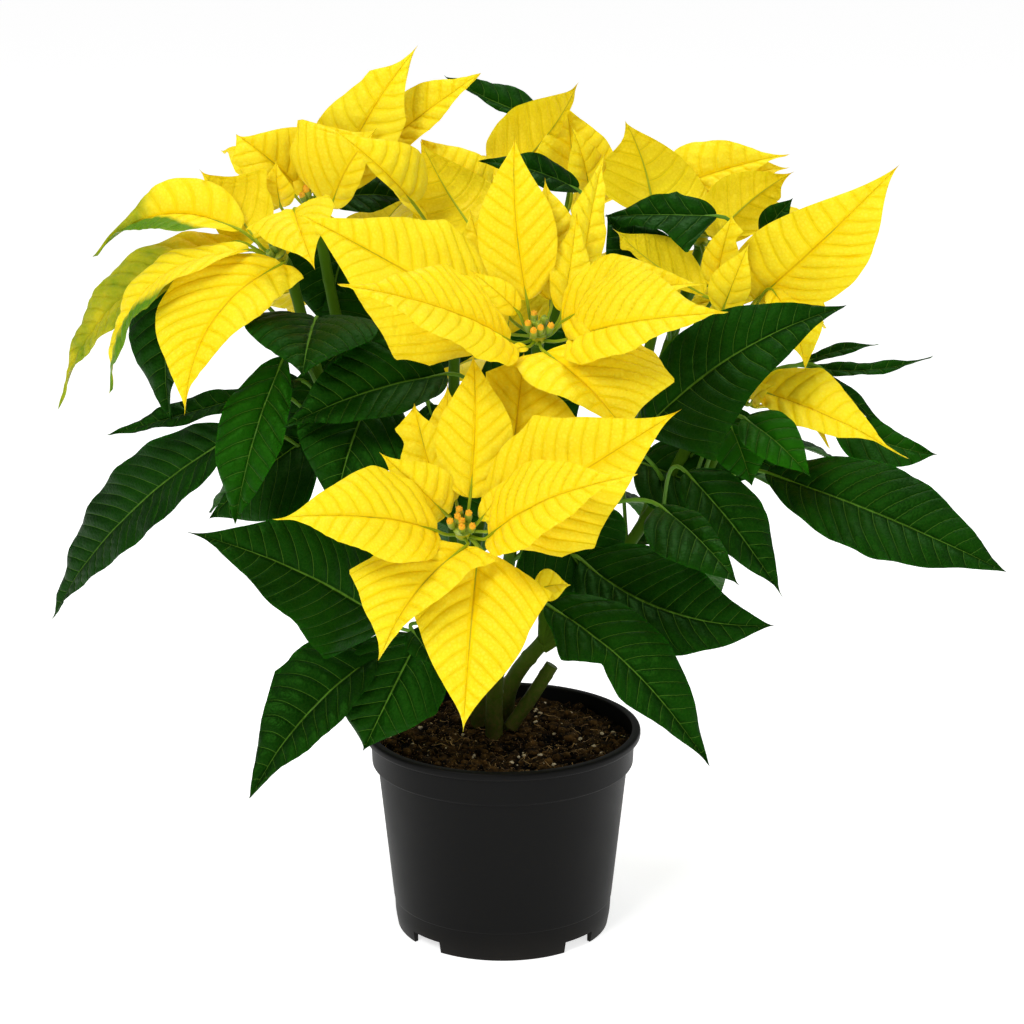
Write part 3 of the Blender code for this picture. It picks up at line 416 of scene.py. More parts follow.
def make_soil():
    """Fill the pot with lumpy peat, and strew it with crumbs, fibres and perlite."""
    low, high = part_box("soil")
    top_radius = high.x - WALL_GAP
    line = [(top_radius * ring / SOIL_RINGS, SOIL_TOP) for ring in range(SOIL_RINGS + 1)]
    line += [(top_radius, SOIL_TOP - SKIRT_DROP),
             (top_radius - SKIRT_STEP, SOIL_TOP - SKIRT_FOOT_DROP),
             (top_radius - SKIRT_TAPER, low.z + FLOOR_GAP), (0.0, low.z + FLOOR_GAP)]
    points, faces = turned(line, SOIL_STEPS)
    lumpy = 1 + SOIL_RINGS * SOIL_STEPS
    points[:lumpy] = [(x, y, soil_height(x, y)) for x, y, level in points[:lumpy]]
    peat, tree, surface = new_material("damp_peat", {"Roughness": 0.92,
                                                     "Specular IOR Level": 0.1})
    patches = clouds(tree, 130.0, 5.0, 0.65)
    grains = node(tree, "TexVoronoi", here(tree), None, 620.0)
    # Painted shade: the peat is near black where the top lies low and lighter only on the high lumps.
    high_up = spread(tree, height_on(tree), SOIL_TOP - 1.5 * MM, SOIL_TOP + 3 * MM)
    light = sums(tree, "MULTIPLY", spread(tree, patches, 0.4, 0.68), high_up)
    peat_with_painted_shade = mix(tree, light, (0.0006, 0.0002, 0.0001), (0.13, 0.068, 0.018))
    bright = mix(tree, spread(tree, grains, 0.24, 0.04), peat_with_painted_shade, (0.34, 0.21, 0.09))
    tree.links.new(bright, surface.inputs["Base Color"])
    relief(tree, surface, clouds(tree, 900.0, 4.0, 0.7), 0.6 * MM)
    soil = add_piece("potting_soil", points, faces, [peat])

    draw = random.Random(11)
    points, faces, skins = [], [], []
    for i in range(CRUMB_COUNT + PERLITE_COUNT):
        pale = i >= CRUMB_COUNT
        away = (top_radius - CRUMB_MARGIN) * math.sqrt(draw.random())
        turn = draw.uniform(0, 2 * math.pi)
        size = draw.uniform(0.6, 1.35) ** 1.6 * MM if pale else draw.uniform(0.6, 1.9) ** 1.9 * MM
        x, y = away * math.cos(turn), away * math.sin(turn)
        middle = Vector((x, y, soil_height(x, y) + size * draw.uniform(-0.1, 0.35)))
        before = len(faces)
        add_lump(points, faces, middle, size, draw.uniform(0.4, 0.95), 2 if size > 1.2 * MM else 1,
                 i * 3.7)
        skins += [(1 if pale else 0)] * (len(faces) - before)
    for i in range(FIBRE_COUNT):
        away = (top_radius - FIBRE_MARGIN) * math.sqrt(draw.random())
        turn = draw.uniform(0, 2 * math.pi)
        start = Vector((away * math.cos(turn), away * math.sin(turn),
                        draw.uniform(0.1, 0.9) * MM))
        before = len(faces)
        add_strand(points, faces, start, draw.uniform(0, math.pi), draw.uniform(3, 12) * MM,
                   draw.uniform(0.1, 0.36) * MM, draw.uniform(-1.3, 1.3))
        skins += [2] * (len(faces) - before)
    perlite, tree, surface = new_material("perlite", {"Roughness": 0.8})
    grain = clouds(tree, 1500.0, 3.0, 0.6)
    tree.links.new(mix(tree, grain, (0.36, 0.26, 0.13), (0.80, 0.70, 0.50)),
                   surface.inputs["Base Color"])
    relief(tree, surface, grain, 0.3 * MM)
    straw, tree, surface = new_material("peat_fibre", {"Roughness": 0.75})
    tone = clouds(tree, 60.0, 1.0, 0.5)
    tree.links.new(mix(tree, spread(tree, tone, 0.38, 0.62), (0.07, 0.03, 0.008),
                       (0.55, 0.34, 0.12)), surface.inputs["Base Color"])
    relief(tree, surface, clouds(tree, 2400.0, 2.0, 0.5), 0.1 * MM)
    crumbs = add_piece("soil_crumbs", points, faces, [peat, perlite, straw], skins)
    for piece in (soil, crumbs):
        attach(piece, "root")
        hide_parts("soil")


make_soil()


# Stems: three rooted cuttings of soft green wood, browner and rougher near the soil, which
# fork into thinner branches. Rings show where leaves have dropped, and one cutting keeps the
# cut stub of its first shoot.
MAIN_RADIUS = 5.6 * MM
BRANCH_RADIUS = 3.3 * MM
HOLE_DEPTH = 36.0 * MM
HUB_HEIGHT = 6.0 * MM
BRANCH_NECK = 9.0 * MM
GAP = 0.3 * MM
SCAR_SPACING = 21.0 * MM
SCAR_WIDTH = 1.3 * MM
BEND_HEIGHT = 22.0 * MM
STEM_POINT_SPACING = 1.6 * MM
MAIN_SIDES = 20
BRANCH_SIDES = 14
STUB_SIDES = 16
STUB_RADIUS = 4.3 * MM
STUB_END_RADIUS = 4.0 * MM
SHARP_ANGLE = math.radians(75)


def seen(pixel, depth):
    """Return the place that the front view shows at a pixel, depth mm behind the pot's axis."""
    across = (pixel[0] - VIEW_CENTRE) / VIEW_FOCAL
    rise = (VIEW_CENTRE - pixel[1]) / VIEW_FOCAL
    ray = Vector((
        across,
        math.cos(VIEW_TILT) + rise * math.sin(VIEW_TILT),
        rise * math.cos(VIEW_TILT) - math.sin(VIEW_TILT),
    ))
    return VIEW_EYE + ray * ((depth * MM - VIEW_EYE.y) / ray.y)


def place(x, y, z):
    """Return a place given in millimetres."""
    return Vector((x, y, z)) * MM


# Main stems: foot in the soil, then the fork, in millimetres.
MAIN_STEMS = {
    "front": (place(-5, 4, 0), place(-3, -18, 166)),
    "left": (place(-15, 21, 0), place(-27, 12, 168)),
    "right": (place(3, 21, 0), place(24, 8, 172)),
}

# Heads: main stem, hub, the way the hub points, and the bend of the branch.
HEADS = {
    "A": ("front", seen((538, 337), -70), (0.05, -0.45, 0.9), place(6, -46, 265)),
    "B": ("front", seen((463, 532), -130), (-0.05, -0.6, 0.8), place(-6, -84, 190)),
    "C": ("left", seen((312, 207), 8), (-0.25, -0.25, 0.9), place(-88, 12, 300)),
    "J": ("left", seen((280, 258), -36), (-0.4, -0.5, 0.8), place(-92, -18, 270)),
    "E": ("left", seen((455, 246), 6), (-0.05, -0.25, 0.95), place(-30, 14, 290)),
    "D": ("right", seen((556, 222), 52), (0.0, -0.1, 1.0), place(30, 44, 300)),
    "F": ("right", seen((700, 240), 26), (0.15, -0.15, 0.95), place(82, 24, 290)),
    "G": ("right", seen((736, 332), -16), (0.35, -0.25, 0.9), place(96, -6, 250)),
    "H": ("right", seen((742, 397), -15), (0.4, -0.4, 0.8), place(100, -20, 220)),
    "K": ("left", place(-88, 96, 366), (-0.5, 0.6, 0.8), place(-66, 54, 270)),
    "L": ("left", place(4, 124, 322), (0.0, 0.9, 0.8), place(-12, 76, 240)),
    "M": ("right", place(98, 98, 358), (0.5, 0.6, 0.8), place(74, 54, 270)),
}

# The cut stub of the right stem's first shoot.
STUB = [seen((510, 727), 10), seen((532, 696), 11), seen((552, 665), 12)]


def bend_points(start, middle, end, count):
    """Return points along a bend that leaves start and reaches end by way of middle."""
    points = []
    for i in range(count):
        t = i / (count - 1)
        points.append((1 - t) ** 2 * start + 2 * t * (1 - t) * middle + t ** 2 * end)
    return points


def branch_points(head, count=5):
    """Return the middle line of a branch, from its main stem's fork to square under its hub."""
    stem, hub, way, bend = HEADS[head]
    way = Vector(way).normalized()
    fork = MAIN_STEMS[stem][1]
    under_hub = hub - way * (HUB_HEIGHT / 2 + GAP)
    neck = under_hub - way * BRANCH_NECK
    return bend_points(fork - Vector((0, 0, 4 * MM)), bend, neck, count) + [under_hub]


# What the points of a piece carry for its skin.
MARKS = ("veins", "sides", "reach", "tone", "green")


def new_heap():
    """Return an empty heap of points and faces that grows into one piece."""
    return SimpleNamespace(points=[], faces=[], skins=[], marks=[[] for label in MARKS])


def add_point(heap, point, vein=0.0, side=0.0, reach=0.0, tone=0.5, green=0.0):
    """Add a point to a heap with what its skin has to know."""
    heap.points.append(point)
    for values, value in zip(heap.marks, (vein, side, reach, tone, green)):
        values.append(value)
    return len(heap.points) - 1


def add_tube(heap, line, radii, sides, skin, tone=0.5):
    """Add a closed round tube along a line of points, with a radius at each."""
    over = (line[1] - line[0]).normalized().orthogonal().normalized()
    rings = []
    for i, middle in enumerate(line):
        ahead, behind = line[min(i + 1, len(line) - 1)], line[max(i - 1, 0)]
        course = (ahead - behind).normalized()
        over = (over - course * over.dot(course)).normalized()
        across = course.cross(over)
        rings.append([
            add_point(heap, middle + radii[i] * (over * math.cos(2 * math.pi * k / sides)
                                                 + across * math.sin(2 * math.pi * k / sides)),
                      reach=i / (len(line) - 1), tone=tone)
            for k in range(sides)])
    for low, high in zip(rings, rings[1:]):
        for k in range(sides):
            after = (k + 1) % sides
            heap.faces.append((low[k], low[after], high[after], high[k]))
            heap.skins.append(skin)
    for ring, end in ((rings[0], line[0]), (rings[-1], line[-1])):
        centre = add_point(heap, end, tone=tone)
        for k in range(sides):
            pair = (ring[k], ring[(k + 1) % sides])
            heap.faces.append((centre, *reversed(pair)) if ring is rings[0] else (centre, *pair))
            heap.skins.append(skin)


def heap_piece(name, heap, materials):
    """Turn a heap into a piece that keeps what its skins have to know."""
    piece = add_piece(name, heap.points, heap.faces, materials, heap.skins)
    piece.data.set_sharp_from_angle(angle=SHARP_ANGLE)
    for label, values in zip(MARKS, heap.marks):
        piece.data.attributes.new(label, "FLOAT", "POINT").data.foreach_set("value", values)
    return piece


def smooth_line(points, count):
    """Return many points along a smooth line through a few."""
    line = []
    spans = len(points) - 1
    for i in range(count):
        at = i / (count - 1) * spans
        k = min(int(at), spans - 1)
        t = at - k
        before = points[max(k - 1, 0)]
        start, end = points[k], points[k + 1]
        after = points[min(k + 2, spans)]
        line.append(0.5 * (2 * start + (end - before) * t
                           + (2 * before - 5 * start + 4 * end - after) * t ** 2
                           + (3 * start - before - 3 * end + after) * t ** 3))
    return line


def stem_radii(line, radius, end_radius, seed):
    """Return a stem's radius at each point: a taper with rings where leaves have dropped."""
    radii = []
    run = seed * 7 * MM
    for i, point in enumerate(line):
        run += (point - line[i - 1]).length if i else 0
        ring = math.exp(-((run % SCAR_SPACING - SCAR_SPACING / 2) / SCAR_WIDTH) ** 2)
        rough = 1 + 0.03 * noise.noise(point * 160)
        share = i / (len(line) - 1)
        radii.append((radius + (end_radius - radius) * share) * rough * (1 + 0.1 * ring))
    return radii


def add_stem(heap, points, radius, end_radius, sides, seed):
    """Add one stem or branch through a few points."""
    length = sum((b - a).length for a, b in zip(points, points[1:]))
    line = smooth_line(points, max(12, round(length / STEM_POINT_SPACING)))
    add_tube(heap, line, stem_radii(line, radius, end_radius, seed), sides, 0)


def stem_skin():
    """Make the skin of stems and branches: green, and corky brown near the soil."""
    material, tree, surface = new_material("green_stem", {
        "Roughness": 0.5, "Specular IOR Level": 0.1, "Specular Tint": (0.6, 1, 0.3, 1)})
    height = height_on(tree)
    fleck = clouds(tree, 420.0, 4.0, 0.62)
    streak = clouds(tree, 70.0, 3.0, 0.6)
    green = mix(tree, streak, (0.014, 0.046, 0.001), (0.06, 0.14, 0.004))
    young = mix(tree, spread(tree, height, 0.16, 0.3), (0.035, 0.075, 0.003), (0.05, 0.13, 0.004))
    green = mix(tree, 0.5, green, young)
    cork = mix(tree, fleck, (0.03, 0.024, 0.006), (0.13, 0.095, 0.03))
    woody = sums(tree, "MULTIPLY", spread(tree, height, 0.185, 0.105),
                 spread(tree, fleck, 0.3, 0.6, 0.25, 0.95))
    tree.links.new(mix(tree, woody, green, cork), surface.inputs["Base Color"])
    relief(tree, surface, fleck, 0.35 * MM, 0.8)
    return material


GREEN_STEM = stem_skin()
for stem_name, (foot, fork) in MAIN_STEMS.items():
    heap = new_heap()
    low = Vector((foot.x, foot.y, SOIL_TOP - HOLE_DEPTH))
    bend = Vector((foot.x, foot.y, SOIL_TOP + BEND_HEIGHT))
    add_stem(heap, [low, bend, fork], MAIN_RADIUS, MAIN_RADIUS * 0.8, MAIN_SIDES, 1)
    for head in HEADS:
        if HEADS[head][0] == stem_name:
            add_stem(heap, branch_points(head), BRANCH_RADIUS * 1.15, BRANCH_RADIUS * 0.9,
                     BRANCH_SIDES, ord(head))
    if stem_name == "right":
        add_stem(heap, STUB, STUB_RADIUS, STUB_END_RADIUS, STUB_SIDES, 2)
    stem = heap_piece("stem_" + stem_name, heap, [GREEN_STEM])
    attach(stem, "root")
    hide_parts("leafy_stem_" + stem_name)


# Leaves: grown blades about 0.5 mm thick, dark green and faintly glossy above, paler below.
# The midrib and side veins lie in grooves and the skin between them swells, and the skin is
# darkened in the grooves as painted shade. Each leaf hangs on a pale green stalk that runs on
# as the midrib under the blade.
LEAF_STALK = 1.25 * MM
LEAF_THICKNESS = 0.5 * MM
LEAF_SWELL = 1.5 * MM
LEAF_WAVE = 1.2 * MM
LEAF_GROOVE = 0.8 * MM
LEAF_RIB_DEPTH = 1.0 * MM
BRACT_OUTLINE = (0.70, 0.72, 1.70)
LEAF_OUTLINE = (0.74, 0.70, 1.30)
LONG_OUTLINE = (0.92, 0.80, 1.20)
TAILED_OUTLINE = (0.70, 0.72, 3.00)
TOOTH_REACH = 0.05
TOOTH_SPREAD = 0.012
VEIN_SPACING = 9.0 * MM
VEIN_LEAN = 0.58
VEIN_CURL = 0.012 / MM
VEIN_SHIFT = 0.45
CROSS_SPACING = 6.0 * MM
FULL_LENGTH = 60.0 * MM
ROW_SPACING = 1.55 * MM
COLUMN_SPACING = 4.2 * MM
RIB_WIDTH = 1.3 * MM
FLAT_WIDTH = 4.0 * MM
WAVE_LENGTH = 4.6 * MM
RIB_REACH = 0.93
RIB_STEPS = 18
STALK_STEPS = 14
STALK_SIDES = 8
STALK_SKIN_NUMBER = 2


def blade(base, tip, depth, width, face=(0, 0), arch=6, bow=0, fold=0.15, teeth=(), under=False,
          outline=BRACT_OUTLINE, on=None, halves=(1, 1), sweep=(0, 0)):
    """Describe a bract or leaf by its root and tip in the front view.

    face leans the upper side from the viewer to the right and up. arch lifts the midrib, bow
    moves it sideways and fold raises the edges. teeth are (side, place along, size in mm).
    on is (branch, how far along it) for a leaf. halves are the widths of the two halves, and
    sweep is how far each is swept to the tip, as shares.
    """
    toward = Vector((face[0], -math.cos(VIEW_TILT), math.sin(VIEW_TILT) + face[1]))
    return SimpleNamespace(root=seen(base, depth[0]), tip=seen(tip, depth[1]),
                           toward=-toward if under else toward, width=width * MM,
                           arch=arch * MM, bow=bow * MM, fold=fold, teeth=teeth,
                           outline=outline, on=on, halves=halves, sweep=sweep)


def leaf(*args, outline=LEAF_OUTLINE, **kwargs):
    """Describe a green leaf, which is rounder at its root than a bract."""
    return blade(*args, outline=outline, **kwargs)


def spoke(centre, way, turn, lift, start, length, width, arch=10, outline=BRACT_OUTLINE, on=None):
    """Describe a blade that leaves a stem that points along way, at a turn and a lift in degrees.

    The turn is from +X as seen from above, and the lift is from square to the stem.
    """
    turn, lift = math.radians(turn), math.radians(lift)
    way = Vector(way).normalized()
    level = Vector((math.cos(turn), math.sin(turn), 0))
    level = (level - way * way.dot(level)).normalized()
    along = level * math.cos(lift) + way * math.sin(lift)
    return SimpleNamespace(root=centre + along * start * MM,
                           tip=centre + along * (start + length) * MM,
                           toward=way, width=width * MM, arch=arch * MM, bow=0.0, fold=0.15,
                           teeth=(), outline=outline, on=on, halves=(1, 1), sweep=(0, 0))


# Leaves in the front view, by main stem. Where a leaf stands is (branch, how far along it).
LEAVES = {
    "front": (
        leaf((660, 506), (740, 586), (-82, -126), 50, face=(0.1, 0.6), on=("A", 0.35), halves=(1, 0.4)),
        leaf((582, 560), (776, 625), (-58, -88), 58, face=(0.1, 0.4), bow=14.5, on=("A", 0.2),
             halves=(1, 1.12)),
        leaf((546, 604), (710, 767), (-96, -146), 50, face=(0.1, 0.45), arch=10, bow=-5, on=("B", 0.3),
             teeth=((1, 0.24, 8), (1, 0.37, -10)), halves=(0.76, 1)),
        leaf((386, 621), (185, 531), (-84, -112), 51, face=(-0.1, 0.4), bow=4, on=("B", 0.35),
             teeth=((-1, 0.22, 15),), outline=BRACT_OUTLINE, halves=(1.25, 1.08)),
        leaf((376, 655), (249, 799), (-72, -108), 48, face=(-0.3, 0.4), bow=5, on=("B", 0.15),
             teeth=((1, 0.55, 4),), halves=(1.22, 0.78), sweep=(-0.5, 0)),
        leaf((420, 636), (363, 751), (-60, -88), 56, face=(0.1, 0.4), arch=5, on=("B", 0.1),
             teeth=((-1, 0.5, 2), (1, 0.82, 8))),
        leaf((446, 374), (283, 427), (-62, -84), 48, face=(-0.1, 0.6), arch=8, fold=0.4, on=("A", 0.6)),
        leaf((548, 524), (604, 602), (-44, -58), 70, face=(0, 0.3), arch=5, on=("A", 0.15)),
        leaf((412, 630), (437, 668), (-96, -110), 18, face=(0, 0.4), arch=3, on=("B", 0.4)),
    ),
    "left": (
        leaf((238, 433), (51, 620), (-10, 40), 43, face=(-0.3, 0.5), arch=12, bow=6, on=("J", 0.4),
             halves=(1.22, 1)),
        leaf((285, 355), (235, 525), (-46, -80), 42, face=(-0.2, 0.5), arch=10, on=("J", 0.6),
             outline=LONG_OUTLINE, halves=(1, 0.85)),
        leaf((258, 392), (106, 435), (-14, -14), 18, face=(-0.1, 0.9), arch=1, bow=-1, on=("J", 0.5)),
        leaf((316, 318), (302, 376), (-50, -100), 74, face=(0, 0.8), arch=5, on=("J", 0.75)),
        leaf((178, 260), (171, 427), (-12, -20), 36, face=(-0.5, 0.3), arch=8, bow=1, on=("J", 0.8),
             outline=BRACT_OUTLINE, halves=(1.3, 0.8)),
        leaf((300, 380), (262, 392), (-30, -50), 14, face=(0, 0.6), arch=3, on=("J", 0.65)),
        leaf((372, 392), (334, 510), (-52, -82), 62, face=(-0.1, 0.5), arch=8, on=("E", 0.55)),
        leaf((330, 200), (408, 200), (22, 30), 30, face=(0, 0.8), arch=5, on=("C", 0.85)),
        leaf((305, 440), (209, 519), (-8, -20), 48, face=(-0.1, 0.4), arch=7, on=("J", 0.35),
             halves=(0.4, 1.5)),
        leaf((376, 394), (280, 462), (6, -10), 64, face=(-0.1, 0.4), arch=7, on=("E", 0.5)),
        leaf((428, 404), (468, 538), (-10, -30), 62, face=(0, 0.3), arch=5, on=("E", 0.45),
             outline=LONG_OUTLINE),
        leaf((410, 300), (318, 372), (24, 6), 64, face=(-0.1, 0.3), arch=6, on=("E", 0.75)),
        leaf((450, 300), (424, 376), (34, 28), 54, face=(0, 0.3), arch=5, on=("E", 0.7)),
        leaf((346, 238), (326, 330), (34, 20), 60, face=(0, 0.3), arch=5, on=("C", 0.45)),
    ),
    "right": (
        leaf((646, 428), (847, 305), (-56, -66), 61, face=(-0.1, 0.3), arch=8, bow=-7, on=("G", 0.55),
             teeth=((1, 0.3, 17),), halves=(0.92, 0.86), sweep=(-0.35, 0)),
        leaf((765, 472), (1007, 572), (-30, -92), 60, face=(0.1, 0.4), arch=11, bow=2, on=("H", 0.4),
             outline=LONG_OUTLINE, halves=(0.92, 0.94)),
        leaf((803, 363), (880, 344), (10, 8), 9, face=(0, 0.9), arch=0, bow=-2.5, on=("G", 0.75)),
        leaf((806, 366), (934, 355), (0, -8), 10, face=(0, 0.8), arch=0, bow=6, on=("G", 0.7)),
        leaf((828, 374), (894, 435), (-4, -14), 9, face=(0.3, 0.6), arch=1, bow=2, on=("G", 0.6)),
        leaf((838, 415), (939, 454), (-10, -24), 20, face=(0, 0.6), arch=1, bow=6, on=("G", 0.5),
             halves=(2, 1)),
        leaf((744, 418), (811, 477), (-54, -84), 30, face=(0, 0.5), arch=5, on=("H", 0.7)),
        leaf((730, 424), (752, 486), (-34, -50), 32, face=(0, 0.4), arch=4, on=("H", 0.6)),
        leaf((640, 462), (742, 512), (4, -22), 50, face=(0, 0.4), arch=6, on=("H", 0.35)),
        leaf((690, 440), (780, 470), (24, 10), 50, face=(0, 0.4), arch=6, on=("G", 0.4)),
        leaf((686, 472), (784, 598), (-50, -82), 42, face=(0.2, 0.5), on=("H", 0.5), outline=BRACT_OUTLINE,
             halves=(0.9, 1)),
        leaf((717, 216), (604, 216), (-6, -3), 24, face=(0, 0.5), arch=2, on=("F", 0.75),
             teeth=((1, 0.36, 2), (-1, 0.27, 15), (-1, 0.84, 5))),
        leaf((762, 236), (793, 198), (3, 0), 16, face=(0, 0.4), arch=2, on=("F", 0.6)),
        leaf((664, 304), (606, 214), (0, 2), 46, face=(0, 0.4), arch=4, on=("F", 0.75)),
        leaf((500, 344), (576, 428), (20, 12), 74, face=(0, 0.3), arch=5, on=("D", 0.5)),
        leaf((578, 190), (478, 161), (8, 2), 20, face=(0, 0.6), arch=7, on=("D", 0.8)),
        leaf((548, 122), (444, 75), (82, 86), 26, face=(0, 0.7), arch=-3, on=("D", 0.8), halves=(1, 0.38)),
    ),
}

# Leaves at the back, by rule: branch, how far along it, turn, lift, stalk, length and width.
BACK_LEAVES = {
    "front": (),
    "left": (
        ("K", 0.55, 150, -24, 34, 118, 62),
        ("K", 0.45, 112, -30, 30, 112, 60),
        ("K", 0.3, 150, -18, 30, 104, 56),
        ("L", 0.5, 96, -34, 30, 110, 60),
    ),
    "right": (
        ("M", 0.55, 30, -24, 34, 118, 62),
        ("M", 0.45, 66, -30, 30, 112, 60),
        ("M", 0.3, 26, -16, 30, 104, 56),
        ("F", 0.5, 14, -8, 30, 104, 54),
        ("G", 0.3, 52, -22, 30, 96, 52),
    ),
}


def along_branch(head, share):
    """Return the place on a branch's middle line at a share of its points."""
    points = branch_points(head, 41)
    return points[round(share * (len(points) - 1))]


def blade_course(spec, t):
    """Return the midrib's place at t from root to tip, with its course, across and upward."""
    chord = spec.tip - spec.root
    along = chord.normalized()
    normal = (spec.toward - along * spec.toward.dot(along)).normalized()
    across = along.cross(normal)
    bend = (spec.root + spec.tip) / 2 + normal * 2 * spec.arch + across * 2 * spec.bow
    middle = (1 - t) ** 2 * spec.root + 2 * t * (1 - t) * bend + t ** 2 * spec.tip
    course = ((1 - t) * (bend - spec.root) + t * (spec.tip - bend)).normalized()
    across = (across - course * across.dot(course)).normalized()
    return middle, course, across, across.cross(course)


def half_width(spec, side, t):
    """Return how far a blade's edge stands from its midrib, with its teeth."""
    early, round_end, sharp_end = spec.outline
    swell = max(math.sin(math.pi * t ** early), 0.0) ** (round_end + (sharp_end - round_end) * t)
    half = spec.width / 2 * swell * spec.halves[0 if side > 0 else 1]
    for tooth_side, tooth_at, tooth_size in spec.teeth:
        if tooth_side * side > 0:
            reach = TOOTH_REACH + TOOTH_SPREAD * abs(tooth_size)
            half += tooth_size * MM * max(0.0, 1 - abs(t - tooth_at) / reach) ** 1.35
    return max(half, 0.0)


def spot_seed(run, away, side, shift):
    """Return where to read the fine puckers of a blade's skin."""
    return Vector((run * 230, math.copysign(away, side) * 230, shift))


def add_blade(heap, spec, thickness, swell, wave, groove, seed, green=None):
    """Add a leaf or bract: two fine skins, upper and lower, that meet in a thin edge.

    swell is how far the skin stands up between side veins, wave how far the edge waves and
    groove how deep the midrib lies. green gives how green it is at t and side.
    """
    draw = random.Random(seed)
    tone, shift, turn = draw.random(), draw.uniform(0, 50), draw.uniform(0, 6.28)
    length = (spec.tip - spec.root).length
    small = min(1.0, length / FULL_LENGTH)
    rows = max(16, min(76, round(length / ROW_SPACING)))
    half_columns = max(4, min(14, round(spec.width / COLUMN_SPACING) + 2))
    shares = [(k / half_columns) ** 1.15 for k in range(half_columns + 1)]
    sides = [-share for share in reversed(shares[1:])] + shares
    spacing = VEIN_SPACING * (0.6 + 0.4 * small)
    root = add_point(heap, blade_course(spec, 0.0)[0], tone=tone)
    tip_green = green(1.0, 0.0) if green else 0.0
    tip = add_point(heap, blade_course(spec, 1.0)[0], length / spacing, reach=1.0, tone=tone,
                    green=tip_green)
    skins = ([], [])
    for i in range(1, rows):
        t = (i / rows) ** 1.25
        middle, course, across, normal = blade_course(spec, t)
        line = ([], [])
        for side in sides:
            half = half_width(spec, side, t)
            share = abs(side)
            half *= 1 + 0.03 * noise.noise(Vector((t * 9 + shift, side * 2, 0)))
            away = share * half
            run = t * length
            vein = (run - VEIN_LEAN * away - VEIN_CURL * away ** 2) / spacing
            vein += 0.2 * noise.noise(Vector((run * 45, side * 1.2, shift)))
            phase = vein + (VEIN_SHIFT if side > 0 else 0)
            cross = away / CROSS_SPACING + 3 * noise.noise(Vector((math.floor(phase), shift, 0)))
            puff = abs(math.sin(math.pi * phase)) ** 0.7
            puff *= 0.72 + 0.28 * abs(math.sin(math.pi * cross)) ** 0.7
            inner = min(1.0, away / FLAT_WIDTH)
            rise = spec.fold * away + 0.07 * half * math.sin(math.pi * share)
            rise += small * swell * (puff - 0.5) * inner * (1 - 0.7 * share ** 4)
            rise -= small * groove * math.exp(-(away / RIB_WIDTH) ** 2)
            rise += small * 0.35 * swell * inner * noise.noise(spot_seed(run, away, side, shift))
            waving = math.sin(run / WAVE_LENGTH + turn * (2 if side > 0 else 1))
            rise += small * wave * share ** 3 * waving
            rise += small * 0.6 * wave * noise.noise(Vector((run * 60, side * 1.5, shift)))
            sweep = spec.sweep[0 if side > 0 else 1]
            spot = middle + across * (math.copysign(away, side) if side else 0)
            spot += course * sweep * away + normal * rise
            tint = green(t, side) if green else 0.0
            thin = thickness / 2 * (1 - share ** 7)
            marks = (vein, side, t, tone, tint)
            line[0].append(add_point(heap, spot + normal * thin, *marks))
            line[1].append(add_point(heap, spot - normal * thin, *marks) if share < 1.0
                           else line[0][-1])
        skins[0].append(line[0])
        skins[1].append(line[1])
    for skin, lines in enumerate(skins):
        faces = []
        for k in range(len(sides) - 1):
            faces.append((root, lines[0][k + 1], lines[0][k]))
            faces.append((lines[-1][k], lines[-1][k + 1], tip))
            for low, high in zip(lines, lines[1:]):
                faces.append((low[k], low[k + 1], high[k + 1]))
                faces.append((low[k], high[k + 1], high[k]))
        for face in faces:
            heap.faces.append(tuple(reversed(face)) if skin else face)
            heap.skins.append(skin)


def add_stalk(heap, spec, start, shoulder, radius, depth, seed):
    """Add the stalk of a blade, which runs on as the midrib, depth under the blade."""
    tone = random.Random(seed).random()
    root, course, across, normal = blade_course(spec, 0.0)
    reach = (root - start).length
    lift = start * 0.2 + shoulder * 0.8
    ease = root - course * reach * 0.3
    line, radii = [], []
    for i in range(STALK_STEPS):
        t = i / STALK_STEPS
        line.append((1 - t) ** 3 * start + 3 * t * (1 - t) ** 2 * lift
                    + 3 * t ** 2 * (1 - t) * ease + t ** 3 * root)
        radii.append(radius * (1.25 - 0.35 * min(1.0, 3 * t)))
    small = min(1.0, (spec.tip - spec.root).length / FULL_LENGTH)
    for i in range(RIB_STEPS + 1):
        t = RIB_REACH * i / RIB_STEPS
        middle, course, across, normal = blade_course(spec, t)
        slim = radius * (0.9 - 0.78 * (i / RIB_STEPS) ** 0.6)
        under = (slim * 0.3 + depth * small) * min(1.0, 7 * t)
        line.append(middle - normal * under)
        radii.append(slim)
    add_tube(heap, line, radii, STALK_SIDES, STALK_SKIN_NUMBER, tone)


def value_of(tree, label):
    """Return a number that the points of a piece carry."""
    return node(tree, "Attribute", attribute_name=label).outputs["Fac"]


